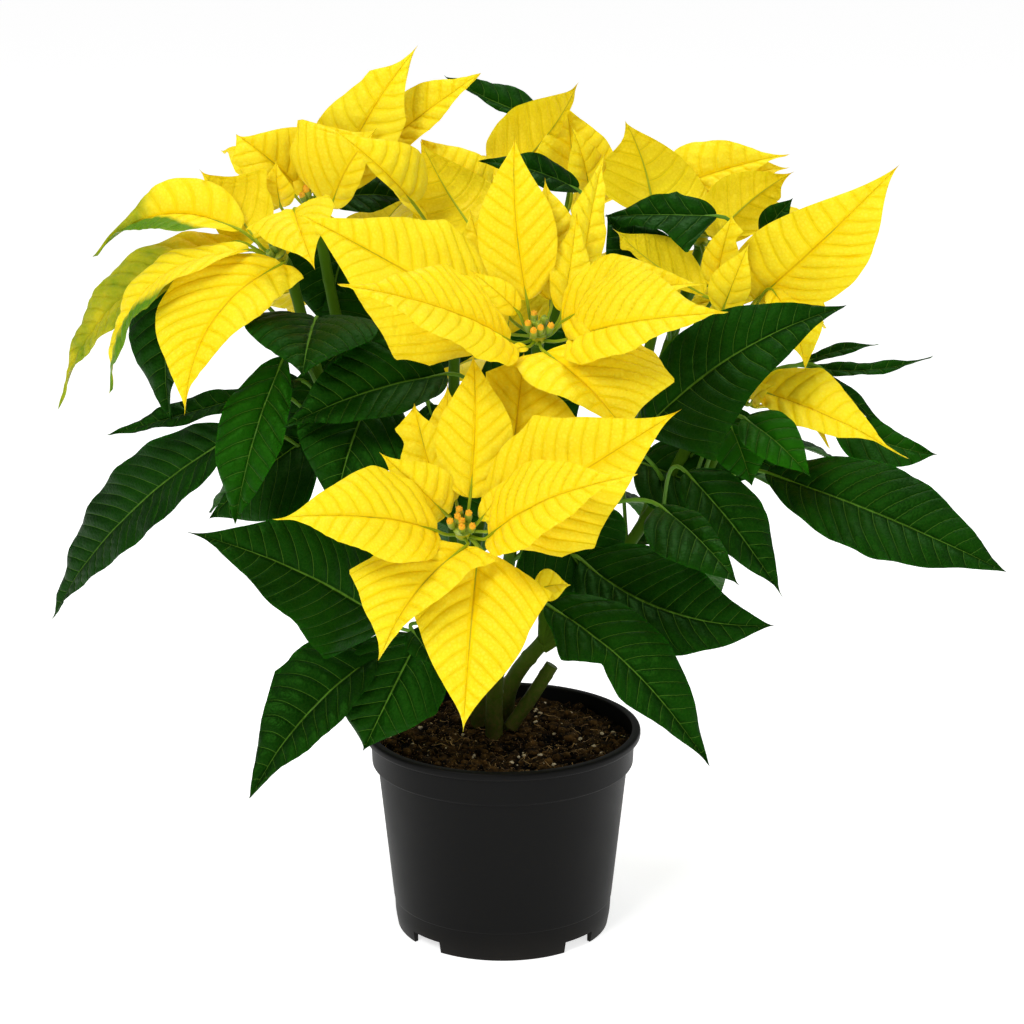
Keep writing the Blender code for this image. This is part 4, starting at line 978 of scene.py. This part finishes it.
def vein_lines(tree):
    """Return how much of the midrib, the side veins and the fine net shows, and the puffs."""
    side, reach = value_of(tree, "sides"), value_of(tree, "reach")
    share = sums(tree, "ABSOLUTE", side)
    right = sums(tree, "MULTIPLY", sums(tree, "GREATER_THAN", side, 0.0), VEIN_SHIFT)
    phase = sums(tree, "ADD", value_of(tree, "veins"), right)
    near = sums(tree, "PINGPONG", phase, 0.5)
    slim = spread(tree, share, 0.0, 1.0, 0.026, 0.012)
    lateral = spread(tree, sums(tree, "DIVIDE", near, slim), 1.0, 0.45)
    lateral = sums(tree, "MULTIPLY", lateral, spread(tree, share, 1.0, 0.7))
    rib = spread(tree, reach, 0.0, 1.0, 0.030, 0.016)
    midrib = spread(tree, sums(tree, "DIVIDE", share, rib), 1.0, 0.4)
    cells = node(tree, "TexVoronoi", here(tree), None, 420.0, feature="DISTANCE_TO_EDGE")
    net = spread(tree, cells, 0.09, 0.0)
    puff = sums(tree, "MINIMUM", spread(tree, near, 0.0, 0.15),
                spread(tree, sums(tree, "DIVIDE", share, rib), 0.4, 3.0))
    dimple = spread(tree, cells, 0.35, 0.0, 0.0, 0.3)
    return midrib, lateral, net, sums(tree, "SUBTRACT", puff, dimple)


def leaf_skin(name, dark, light, vein, fresh, finish, vein_show, net_show, gloss):
    """Make one side of the leaves' skin, with painted shade in the grooves between the puffs."""
    material, tree, surface = new_material(name, finish)
    midrib, lateral, net, puff = vein_lines(tree)
    cloud = clouds(tree, 26.0, 3.0, 0.6)
    tone = value_of(tree, "tone")
    ground = mix(tree, spread(tree, cloud, 0.35, 0.7), dark, light)
    ground = mix(tree, sums(tree, "MULTIPLY", tone, 0.45), ground, light)
    ground = mix(tree, value_of(tree, "green"), ground, fresh)
    # Painted shade: the skin is darkened toward the dark colour in the grooves between the puffs.
    ground = mix(tree, spread(tree, puff, 0.8, 0.0, 0.0, 0.6), ground, dark)
    ground = mix(tree, sums(tree, "MULTIPLY", net, net_show), ground, vein)
    ground = mix(tree, sums(tree, "MULTIPLY", lateral, vein_show), ground, vein)
    ground = mix(tree, sums(tree, "MULTIPLY", midrib, min(1.0, vein_show * 1.5)), ground, vein)
    tree.links.new(ground, surface.inputs["Base Color"])
    shine = spread(tree, cloud, 0.3, 0.7, gloss[0], gloss[1])
    tree.links.new(shine.outputs[0], surface.inputs["Roughness"])
    relief(tree, surface, puff, 0.45 * MM, 0.8)
    return material


LEAF_FINISH = {"Specular IOR Level": 0.28, "Specular Tint": (0.2, 1.0, 0.08, 1),
               "Subsurface Weight": 0.1, "Subsurface Radius": (0.4, 0.9, 0.1),
               "Subsurface Scale": 1.2 * MM}
LEAF_TOP = leaf_skin("leaf_top", (0.0006, 0.009, 0.0002), (0.0032, 0.030, 0.0005),
                     (0.085, 0.19, 0.018), (0.012, 0.11, 0.0006), LEAF_FINISH, 0.62, 0.05,
                     (0.42, 0.56))
LEAF_UNDER = leaf_skin("leaf_underside", (0.008, 0.045, 0.003), (0.02, 0.08, 0.007),
                       (0.11, 0.21, 0.03), (0.04, 0.16, 0.004), LEAF_FINISH, 0.5, 0.2,
                       (0.55, 0.68))


def stalk_skin(name, near_stem, near_blade, rib_end):
    """Make the skin of stalks and midribs, coloured along their length."""
    material, tree, surface = new_material(name, {
        "Roughness": 0.45, "Specular IOR Level": 0.2, "Subsurface Weight": 0.15,
        "Subsurface Radius": (0.7, 0.9, 0.2), "Subsurface Scale": 1.2 * MM})
    reach = value_of(tree, "reach")
    colour = mix(tree, spread(tree, reach, 0.0, 0.4), near_stem, near_blade)
    colour = mix(tree, spread(tree, reach, 0.45, 0.9), colour, rib_end)
    grain = clouds(tree, 300.0, 3.0, 0.6)
    tree.links.new(mix(tree, sums(tree, "MULTIPLY", grain, 0.3), colour, near_stem),
                   surface.inputs["Base Color"])
    relief(tree, surface, grain, 0.15 * MM, 0.5)
    return material


LEAF_STALK_SKIN = stalk_skin("leaf_stalk", (0.05, 0.14, 0.006), (0.11, 0.26, 0.014),
                             (0.05, 0.16, 0.01))


def add_leaf(heap, spec, seed):
    """Add a leaf with the stalk that carries it from its branch."""
    start = along_branch(*spec.on)
    shoulder = (start + spec.root) / 2 + Vector((0, 0, 0.12 * (spec.root - start).length))
    young = YOUNG_LEAVES.get(seed, 0.0)
    add_blade(heap, spec, LEAF_THICKNESS, LEAF_SWELL, LEAF_WAVE, LEAF_GROOVE, seed,
              lambda t, side: young)
    add_stalk(heap, spec, start, shoulder, LEAF_STALK, LEAF_RIB_DEPTH, seed)


# Leaves that are still fresh green, by their number and how fresh they are.
YOUNG_LEAVES = {101: 0.35, 205: 0.3, 206: 0.6, 207: 0.5}
for number, stem_name in enumerate(MAIN_STEMS):
    heap = new_heap()
    seed = 100 * number
    for spec in LEAVES[stem_name]:
        add_leaf(heap, spec, seed)
        seed += 1
    for head, share, turn, lift, stalk, length, width in BACK_LEAVES[stem_name]:
        start = along_branch(head, share)
        spec = spoke(start, (0, 0, 1), turn, lift, stalk, length, width, arch=12,
                     outline=LEAF_OUTLINE, on=(head, share))
        add_leaf(heap, spec, seed)
        seed += 1
    leaves = heap_piece("leaves_" + stem_name, heap, [LEAF_TOP, LEAF_UNDER, LEAF_STALK_SKIN])
    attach(leaves, "root")
    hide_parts("leafy_stem_" + stem_name)


# Heads of bracts: leaves that have turned yellow and stand in a whorl round the stem's end,
# each on a short green stalk. They are soft and thinner than the leaves, quilted between their
# side veins. Above, they are matt with a painted highlight on the tops of the quilting. Below,
# they are duller with a green midrib, and their yellow is darkened a little as painted shade.
# Young ones are still part green.
BRACT_STALK = 1.0 * MM
BRACT_THICKNESS = 0.45 * MM
BRACT_SWELL = 1.9 * MM
BRACT_WAVE = 1.3 * MM
BRACT_GROOVE = 0.7 * MM
BRACT_RIB_DEPTH = 0.9 * MM
BRACT_STALK_REACH = 11.0 * MM
HUB_RADIUS = 4.6 * MM
HUB_SIDES = 16

# Bracts in the front view, by head.
BRACTS = {
    "A": (
        blade((527, 300), (515, 133), (-66, -42), 43, arch=8, bow=-3),
        blade((510, 341), (337, 284), (-84, -150), 54, face=(-0.1, 0.75), arch=12, bow=-5,
              teeth=((1, 0.42, 3),), halves=(1, 1.15)),
        blade((503, 331), (294, 211), (-64, -78), 74, face=(-0.1, 0.3), arch=8,
              teeth=((1, 0.45, 3), (-1, 0.37, 10), (-1, 0.235, 5)), halves=(0.86, 1)),
        blade((570, 338), (729, 312), (-86, -140), 60, face=(0.1, 0.6), arch=14, bow=7, halves=(0.8, 1.2)),
        blade((562, 322), (706, 283), (-74, -108), 47, face=(0.1, 0.5), arch=12),
        blade((545, 352), (632, 438), (-86, -132), 64, face=(0.1, 0.55), arch=7,
              teeth=((-1, 0.62, 8), (1, 0.08, 9)), halves=(0.72, 1.2), sweep=(-0.6, 0.55)),
        blade((552, 300), (545, 177), (-56, -26), 36, face=(0.2, 0), arch=6),
        blade((562, 312), (577, 212), (-67, -50), 22, face=(0.2, 0), arch=4),
        blade((580, 303), (606, 151), (-52, -10), 28, face=(0.5, 0), arch=5, bow=-5, halves=(0.7, 1)),
        blade((518, 312), (470, 270), (-73, -78), 16, face=(-0.2, 0.4), arch=3),
        blade((506, 312), (469, 208), (-55, -40), 38, face=(-0.3, 0.1), arch=6),
        blade((527, 347), (508, 352), (-80, -90), 7, face=(0, 0.5), arch=1),
    ),
    "B": (
        blade((470, 498), (473, 352), (-124, -96), 41, arch=8, bow=2),
        blade((437, 531), (272, 519), (-138, -182), 55, face=(-0.1, 0.55), arch=12, bow=-1),
        blade((447, 515), (379, 452), (-122, -136), 32, face=(-0.2, 0.3), arch=5),
        blade((488, 537), (638, 474), (-142, -196), 48, face=(0.1, 0.6), arch=12, bow=1),
        blade((492, 530), (682, 409), (-126, -156), 69, face=(0.1, 0.15), arch=6,
              teeth=((1, 0.39, 8), (1, 0.25, 5), (-1, 0.47, 5)), halves=(0.86, 1)),
        blade((466, 546), (378, 661), (-142, -182), 60, face=(-0.2, 0.5), arch=9, bow=3,
              teeth=((1, 0.46, 6), (-1, 0.11, 9)), halves=(1, 0.54), sweep=(0.4, -0.6)),
        blade((478, 552), (463, 733), (-132, -166), 62, face=(0, 0.4), arch=11,
              teeth=((1, 0.39, 3), (-1, 0.225, 13)), halves=(0.88, 1)),
        blade((455, 495), (447, 382), (-118, -84), 28, face=(-0.2, 0), arch=5),
        blade((445, 508), (414, 403), (-118, -96), 38, face=(-0.3, 0.1), arch=6, teeth=((-1, 0.8, 9),),
              halves=(1, 0.8)),
        blade((480, 520), (519, 470), (-130, -136), 12, face=(0.2, 0.2), arch=2),
        blade((508, 490), (524, 352), (-108, -76), 60, face=(0.1, 0.2), arch=5, teeth=((-1, 0.8, 11),),
              halves=(1.2, 1)),
        blade((535, 590), (571, 585), (-118, -116), 19, face=(0.3, 0.6), arch=3),
    ),
    "C": (
        blade((331, 207), (377, 128), (-6, -6), 60, face=(-0.3, 0.2), arch=7, teeth=((-1, 0.62, 14),),
              halves=(0.42, 1.15)),
        blade((333, 185), (418, 45), (16, 12), 56, face=(-0.2, 0.1), arch=9,
              teeth=((-1, 0.76, 4), (1, 0.6, 2)), halves=(0.9, 0.82), sweep=(0, -0.3)),
        blade((345, 182), (481, 73), (26, 22), 37, face=(-0.1, 0.4), arch=6, outline=LONG_OUTLINE,
              halves=(0.65, 1)),
        blade((300, 190), (236, 134), (22, 14), 54, face=(-0.2, 0.4), arch=8, teeth=((-1, 0.84, 10),)),
        blade((281, 207), (276, 160), (-4, -10), 20, face=(-0.2, 0.1), arch=3),
        blade((294, 209), (315, 270), (-28, -78), 44, face=(-0.3, 0.7), arch=8, teeth=((1, 0.24, 8),)),
    ),
    "J": (
        blade((256, 240), (199, 169), (-34, -26), 50, face=(-0.4, 0.3), arch=7, under=True,
              teeth=((-1, 0.55, 10),), halves=(0.6, 0.85)),
        blade((240, 230), (92, 257), (-34, -26), 44, face=(-0.1, 0.8), arch=12, bow=11, fold=0.5,
              outline=TAILED_OUTLINE, halves=(0.82, 0.9), sweep=(-0.4, 0)),
        blade((234, 242), (58, 410), (-36, -30), 40, face=(-1.6, 0.3), arch=20, bow=7.5,
              halves=(1.05, 1.15)),
        blade((250, 250), (109, 394), (-48, -66), 42, face=(-1.8, 0.6), arch=26, bow=3.5,
              teeth=((-1, 0.79, 9),), halves=(0.75, 1), sweep=(0, 0.4)),
        blade((282, 264), (184, 416), (-50, -98), 62, face=(-0.1, 0.6), arch=9, bow=12,
              teeth=((-1, 0.06, 7),), halves=(1, 0.72), sweep=(0.3, -0.5)),
    ),
    "E": (
        blade((470, 226), (420, 140), (-6, 6), 54, face=(0.2, 0), arch=7, under=True, sweep=(-0.4, -0.4)),
        blade((462, 234), (421, 139), (20, 30), 52, face=(0, 0.3), arch=6, outline=LONG_OUTLINE,
              halves=(1.12, 0.4)),
        blade((413, 203), (334, 129), (-22, -42), 34, face=(-0.2, 0.4), arch=7, halves=(1.25, 0.3),
              sweep=(-0.25, 0)),
    ),
    "D": (
        blade((503, 182), (579, 82), (44, 30), 54, face=(-0.2, 0.2), arch=12, under=True,
              halves=(1.14, 0.2), sweep=(-0.2, 0)),
        blade((572, 190), (566, 103), (56, 58), 48, face=(0.2, 0.1), arch=6),
        blade((590, 195), (571, 125), (40, 36), 24, face=(0.4, 0), arch=4),
    ),
    "F": (
        blade((653, 212), (625, 121), (10, 14), 60, face=(0.2, 0), arch=8, bow=-5, under=True,
              teeth=((1, 0.72, 7),), halves=(0.87, 1.13), sweep=(0, -0.6)),
        blade((672, 188), (790, 154), (48, 54), 42, face=(0, 0.4), arch=5, halves=(0.5, 1),
              sweep=(0, -0.45)),
        blade((700, 190), (790, 167), (58, 62), 24, face=(0, 0.4), arch=5),
        blade((713, 240), (795, 171), (12, 10), 50, face=(0.2, 0.2), arch=6, bow=3.5, under=True,
              teeth=((-1, 0.74, 3),), halves=(0.84, 0.6)),
        blade((704, 296), (612, 228), (-14, -26), 34, face=(0, 0.3), arch=7, under=True,
              teeth=((1, 0.82, 5),), halves=(0.22, 1.2)),
        blade((716, 288), (733, 213), (-18, -22), 24, face=(-0.3, 0.2), arch=4, teeth=((1, 0.82, 7),),
              halves=(1, 0.85)),
    ),
    "G": (
        blade((756, 300), (901, 163), (-8, -24), 60, face=(0.1, 0.2), arch=10, bow=2, halves=(0.96, 0.95),
              sweep=(0.25, -0.6)),
        blade((772, 290), (806, 372), (-18, -42), 56, face=(0.6, 0.2), arch=6, halves=(0.5, 0.86),
              sweep=(0, -0.2)),
        blade((722, 312), (749, 243), (-34, -36), 25, face=(-0.1, 0), arch=4, halves=(0.85, 1)),
    ),
    "H": (
        blade((757, 390), (909, 459), (-30, -64), 48, face=(0.1, 0.7), arch=9, bow=2,
              outline=TAILED_OUTLINE, halves=(0.66, 1), sweep=(-0.1, -0.35)),
        blade((752, 402), (776, 384), (-32, -46), 13, face=(-0.2, 0.4), arch=3),
    ),
}

# Heads' bracts at the back, by rule: first turn, step, count, lift, length and width.
BACK_BRACTS = {
    "C": (96, 40, 2, 10, 70, 42),
    "E": (88, 48, 2, 20, 70, 42),
    "D": (26, 136, 2, 8, 80, 46),
    "F": (14, 48, 2, 6, 80, 46),
    "G": (36, 44, 1, 2, 60, 38),
    "H": (-38, 30, 1, 14, 50, 30),
    "K": (66, 62, 5, 6, 82, 54),
    "L": (-20, 72, 5, 4, 84, 56),
    "M": (-60, 46, 5, 6, 82, 54),
}


def back_bracts(head):
    """Describe the bracts that a head has at its back."""
    if head not in BACK_BRACTS:
        return []
    first, step, count, lift, length, width = BACK_BRACTS[head]
    hub, way = HEADS[head][1:3]
    return [spoke(hub, way, first + i * step, lift + 14 * (i % 2), 12, length - 10 * (i % 3),
                  width - 4 * (i % 2)) for i in range(count)]


def bract_skin(name, bright, pale, deep, vein, finish, vein_show):
    """Make one side of the bracts' skin: yellow with faint veins, a painted highlight on the tops of the
    quilting, and green where it is young.
    """
    material, tree, surface = new_material(name, finish)
    midrib, lateral, net, puff = vein_lines(tree)
    cloud = clouds(tree, 34.0, 3.0, 0.6)
    ground = mix(tree, spread(tree, cloud, 0.3, 0.75), pale, deep)
    ground = mix(tree, sums(tree, "MULTIPLY", value_of(tree, "tone"), 0.5), ground, deep)
    # Painted highlight: the tops of the puffs are lightened toward the bright colour.
    ground = mix(tree, spread(tree, puff, 0.6, 1.0, 0.0, 0.45), ground, bright)
    ground = mix(tree, sums(tree, "MULTIPLY", net, 0.08), ground, vein)
    ground = mix(tree, sums(tree, "MULTIPLY", lateral, vein_show * 0.5), ground, vein)
    ground = mix(tree, sums(tree, "MULTIPLY", midrib, vein_show), ground, vein)
    patch = clouds(tree, 60.0, 4.0, 0.6)
    edge = sums(tree, "ADD", value_of(tree, "green"), spread(tree, patch, 0.3, 0.7, -0.1, 0.1))
    leafy = spread(tree, edge, 0.3, 0.75)
    ground = mix(tree, leafy, ground, (0.10, 0.24, 0.008))
    tree.links.new(ground, surface.inputs["Base Color"])
    relief(tree, surface, puff, 0.42 * MM, 0.8)
    return material


BRACT_FINISH = {"Roughness": 0.45, "Specular IOR Level": 0.26, "Specular Tint": (1, 0.92, 0.25, 1),
                "Subsurface Weight": 0.25, "Subsurface Radius": (1.0, 0.75, 0.03),
                "Subsurface Scale": 1.4 * MM}
# The first colour given to each side is the painted highlight on the tops of the quilting.
BRACT_TOP = bract_skin("bract_top", (1.0, 0.86, 0.06), (0.99, 0.78, 0.012),
                       (0.98, 0.68, 0.002), (0.72, 0.44, 0.001), BRACT_FINISH, 0.75)
# The underside's yellows are the top's made darker: partly the duller real underside, partly painted
# shade.
BRACT_UNDER = bract_skin("bract_underside", (0.92, 0.76, 0.03), (0.90, 0.70, 0.008),
                         (0.84, 0.60, 0.002), (0.30, 0.33, 0.003), BRACT_FINISH, 0.75)
BRACT_STALK_SKIN = stalk_skin("bract_stalk", (0.10, 0.22, 0.006), (0.36, 0.44, 0.006),
                              (0.62, 0.52, 0.006))

# Bracts that are still part green, by head and number: the place along where the green starts,
# how green they get, and how much greener their left half is.
GREEN_TIPS = {("J", 1): (0.4, 0.62, 1.2), ("J", 2): (0.05, 0.62, 0), ("J", 3): (0.5, 0.4, 0.6),
              ("F", 4): (0.72, 0.4, 0)}


def green_share(head, number):
    """Return a function that says how green a bract is at t and side, or None."""
    if (head, number) not in GREEN_TIPS:
        return None
    start, most, left = GREEN_TIPS[head, number]
    return lambda t, side: min(1.0, (most + left * max(0.0, -side))
                               * max(0.0, min(1.0, (t - start + 0.3 * max(0.0, -side)) / 0.25)))


def add_bract(heap, hub, way, spec, seed, green):
    """Add a bract with the short stalk that leaves the side of its hub."""
    out = spec.root - hub
    level = (out - way * way.dot(out)).normalized()
    reach = min(BRACT_STALK_REACH, out.length * 0.7)
    start = hub - way * HUB_HEIGHT * 0.1
    add_blade(heap, spec, BRACT_THICKNESS, BRACT_SWELL, BRACT_WAVE, BRACT_GROOVE, seed, green)
    add_stalk(heap, spec, start, start + level * reach, BRACT_STALK, BRACT_RIB_DEPTH, seed)


for head in HEADS:
    hub, way = HEADS[head][1], Vector(HEADS[head][2]).normalized()
    half = way * HUB_HEIGHT / 2
    heap = new_heap()
    add_tube(heap, [hub - half, hub - half * 0.4, hub + half * 0.4, hub + half],
             [HUB_RADIUS * 0.8, HUB_RADIUS, HUB_RADIUS, HUB_RADIUS * 0.8], HUB_SIDES,
             STALK_SKIN_NUMBER)
    for number, spec in enumerate([*BRACTS.get(head, ()), *back_bracts(head)]):
        add_bract(heap, hub, way, spec, ord(head) * 100 + number, green_share(head, number))
    bloom = heap_piece("bracts_" + head, heap, [BRACT_TOP, BRACT_UNDER, BRACT_STALK_SKIN])
    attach(bloom, "root")
    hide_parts("bloom_" + head)


# Cups: the true flowers, a tight cluster of small green cups in the middle of each head. The
# open ones are capped by a tuft of orange and yellow anthers.
CUP_COUNTS = {"A": 8, "B": 7, "C": 4, "J": 4}
USUAL_CUPS = 3
CUP_RADIUS = 2.2 * MM
CUP_HEIGHT = 7.6 * MM
CUP_SPREAD = 2.5 * MM
CUP_BASE_HEIGHT = 1.6 * MM
GOLDEN_ANGLE = math.radians(137.5)
CUP_STEPS = 14
CUP_LEAN = 40.0
CUP_SHAPE = ((0.0, 0.45), (0.12, 0.7), (0.35, 0.9), (0.6, 0.95), (0.8, 0.86), (0.9, 0.7),
             (0.95, 0.4))
OPEN_SHARE = 0.62
CAP_SHARE = 0.86
ANTHER_COUNT = 10


def add_ball(heap, middle, radius, skin, tone):
    """Add a small round grain."""
    rows, steps = 6, 9
    rings = []
    for i in range(1, rows):
        lean = math.pi * i / rows
        rings.append([add_point(heap, middle + radius * Vector((
            math.sin(lean) * math.cos(2 * math.pi * k / steps),
            math.sin(lean) * math.sin(2 * math.pi * k / steps), math.cos(lean))), tone=tone)
            for k in range(steps)])
    top = add_point(heap, middle + Vector((0, 0, radius)), tone=tone)
    low = add_point(heap, middle - Vector((0, 0, radius)), tone=tone)
    for k in range(steps):
        after = (k + 1) % steps
        heap.faces.append((top, rings[0][k], rings[0][after]))
        heap.faces.append((low, rings[-1][after], rings[-1][k]))
        heap.skins += [skin, skin]
        for high_ring, low_ring in zip(rings, rings[1:]):
            heap.faces.append((high_ring[k], low_ring[k], low_ring[after], high_ring[after]))
            heap.skins.append(skin)


def add_cup(heap, foot, way, seed):
    """Add one cup, with its tuft of anthers where it is open."""
    draw = random.Random(seed)
    height = CUP_HEIGHT * draw.uniform(0.8, 1.0)
    line = [foot + way * height * share for share, width in CUP_SHAPE]
    radii = [CUP_RADIUS * width for share, width in CUP_SHAPE]
    tone = draw.random()
    add_tube(heap, line, radii, CUP_STEPS, 0, tone)
    turn = way.to_track_quat("Z", "Y")
    if draw.random() > OPEN_SHARE:
        add_ball(heap, foot + way * height * 0.86, CUP_RADIUS * 0.62, 0, tone)
        return
    cap = foot + way * height * 0.88
    add_ball(heap, cap, CUP_RADIUS * CAP_SHARE, 1, 0.3)
    for i in range(ANTHER_COUNT):
        angle = i * GOLDEN_ANGLE + seed
        away = CUP_RADIUS * 0.25 * math.sqrt(i)
        rise = math.sqrt(max(0.0, (CUP_RADIUS * CAP_SHARE) ** 2 - away ** 2))
        spot = Vector((math.cos(angle) * away, math.sin(angle) * away, rise))
        add_ball(heap, cap + turn @ spot, draw.uniform(0.3, 0.46) * MM, 1, draw.random())


cup_wall, tree, surface = new_material("green_cup_wall", {
    "Roughness": 0.42, "Subsurface Weight": 0.2, "Subsurface Radius": (0.7, 1.0, 0.2),
    "Subsurface Scale": 1.0 * MM})
reach = value_of(tree, "reach")
colour = mix(tree, spread(tree, reach, 0.2, 1.0), (0.10, 0.24, 0.02), (0.36, 0.50, 0.03))
colour = mix(tree, sums(tree, "MULTIPLY", value_of(tree, "tone"), 0.4), colour,
             (0.55, 0.58, 0.03))
tree.links.new(colour, surface.inputs["Base Color"])
relief(tree, surface, clouds(tree, 900.0, 2.0, 0.5), 0.15 * MM)
anther, tree, surface = new_material("orange_anther", {"Roughness": 0.7})
colour = mix(tree, value_of(tree, "tone"), (0.95, 0.62, 0.02), (0.90, 0.33, 0.008))
tree.links.new(colour, surface.inputs["Base Color"])
relief(tree, surface, clouds(tree, 3000.0, 2.0, 0.5), 0.1 * MM)

for head in HEADS:
    hub, way = HEADS[head][1], Vector(HEADS[head][2]).normalized()
    base = hub + way * (HUB_HEIGHT / 2 + GAP)
    top = base + way * CUP_BASE_HEIGHT
    heap = new_heap()
    add_tube(heap, [base, base + way * CUP_BASE_HEIGHT * 0.5, top],
             [HUB_RADIUS * 1.15, HUB_RADIUS * 1.2, HUB_RADIUS * 0.9], 20, 0)
    for i in range(CUP_COUNTS.get(head, USUAL_CUPS)):
        away = CUP_SPREAD * math.sqrt(i)
        offset = Vector((math.cos(i * GOLDEN_ANGLE), math.sin(i * GOLDEN_ANGLE), 0)) * away
        foot = base + way.to_track_quat("Z", "Y") @ offset + way * CUP_BASE_HEIGHT / 2
        lean = (way + (foot - base - way * CUP_BASE_HEIGHT / 2) * CUP_LEAN).normalized()
        add_cup(heap, foot, lean, ord(head) * 10 + i)
    cups = heap_piece("cups_in_" + head, heap, [cup_wall, anther])
    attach(cups, "root")
    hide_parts("cups_" + head)
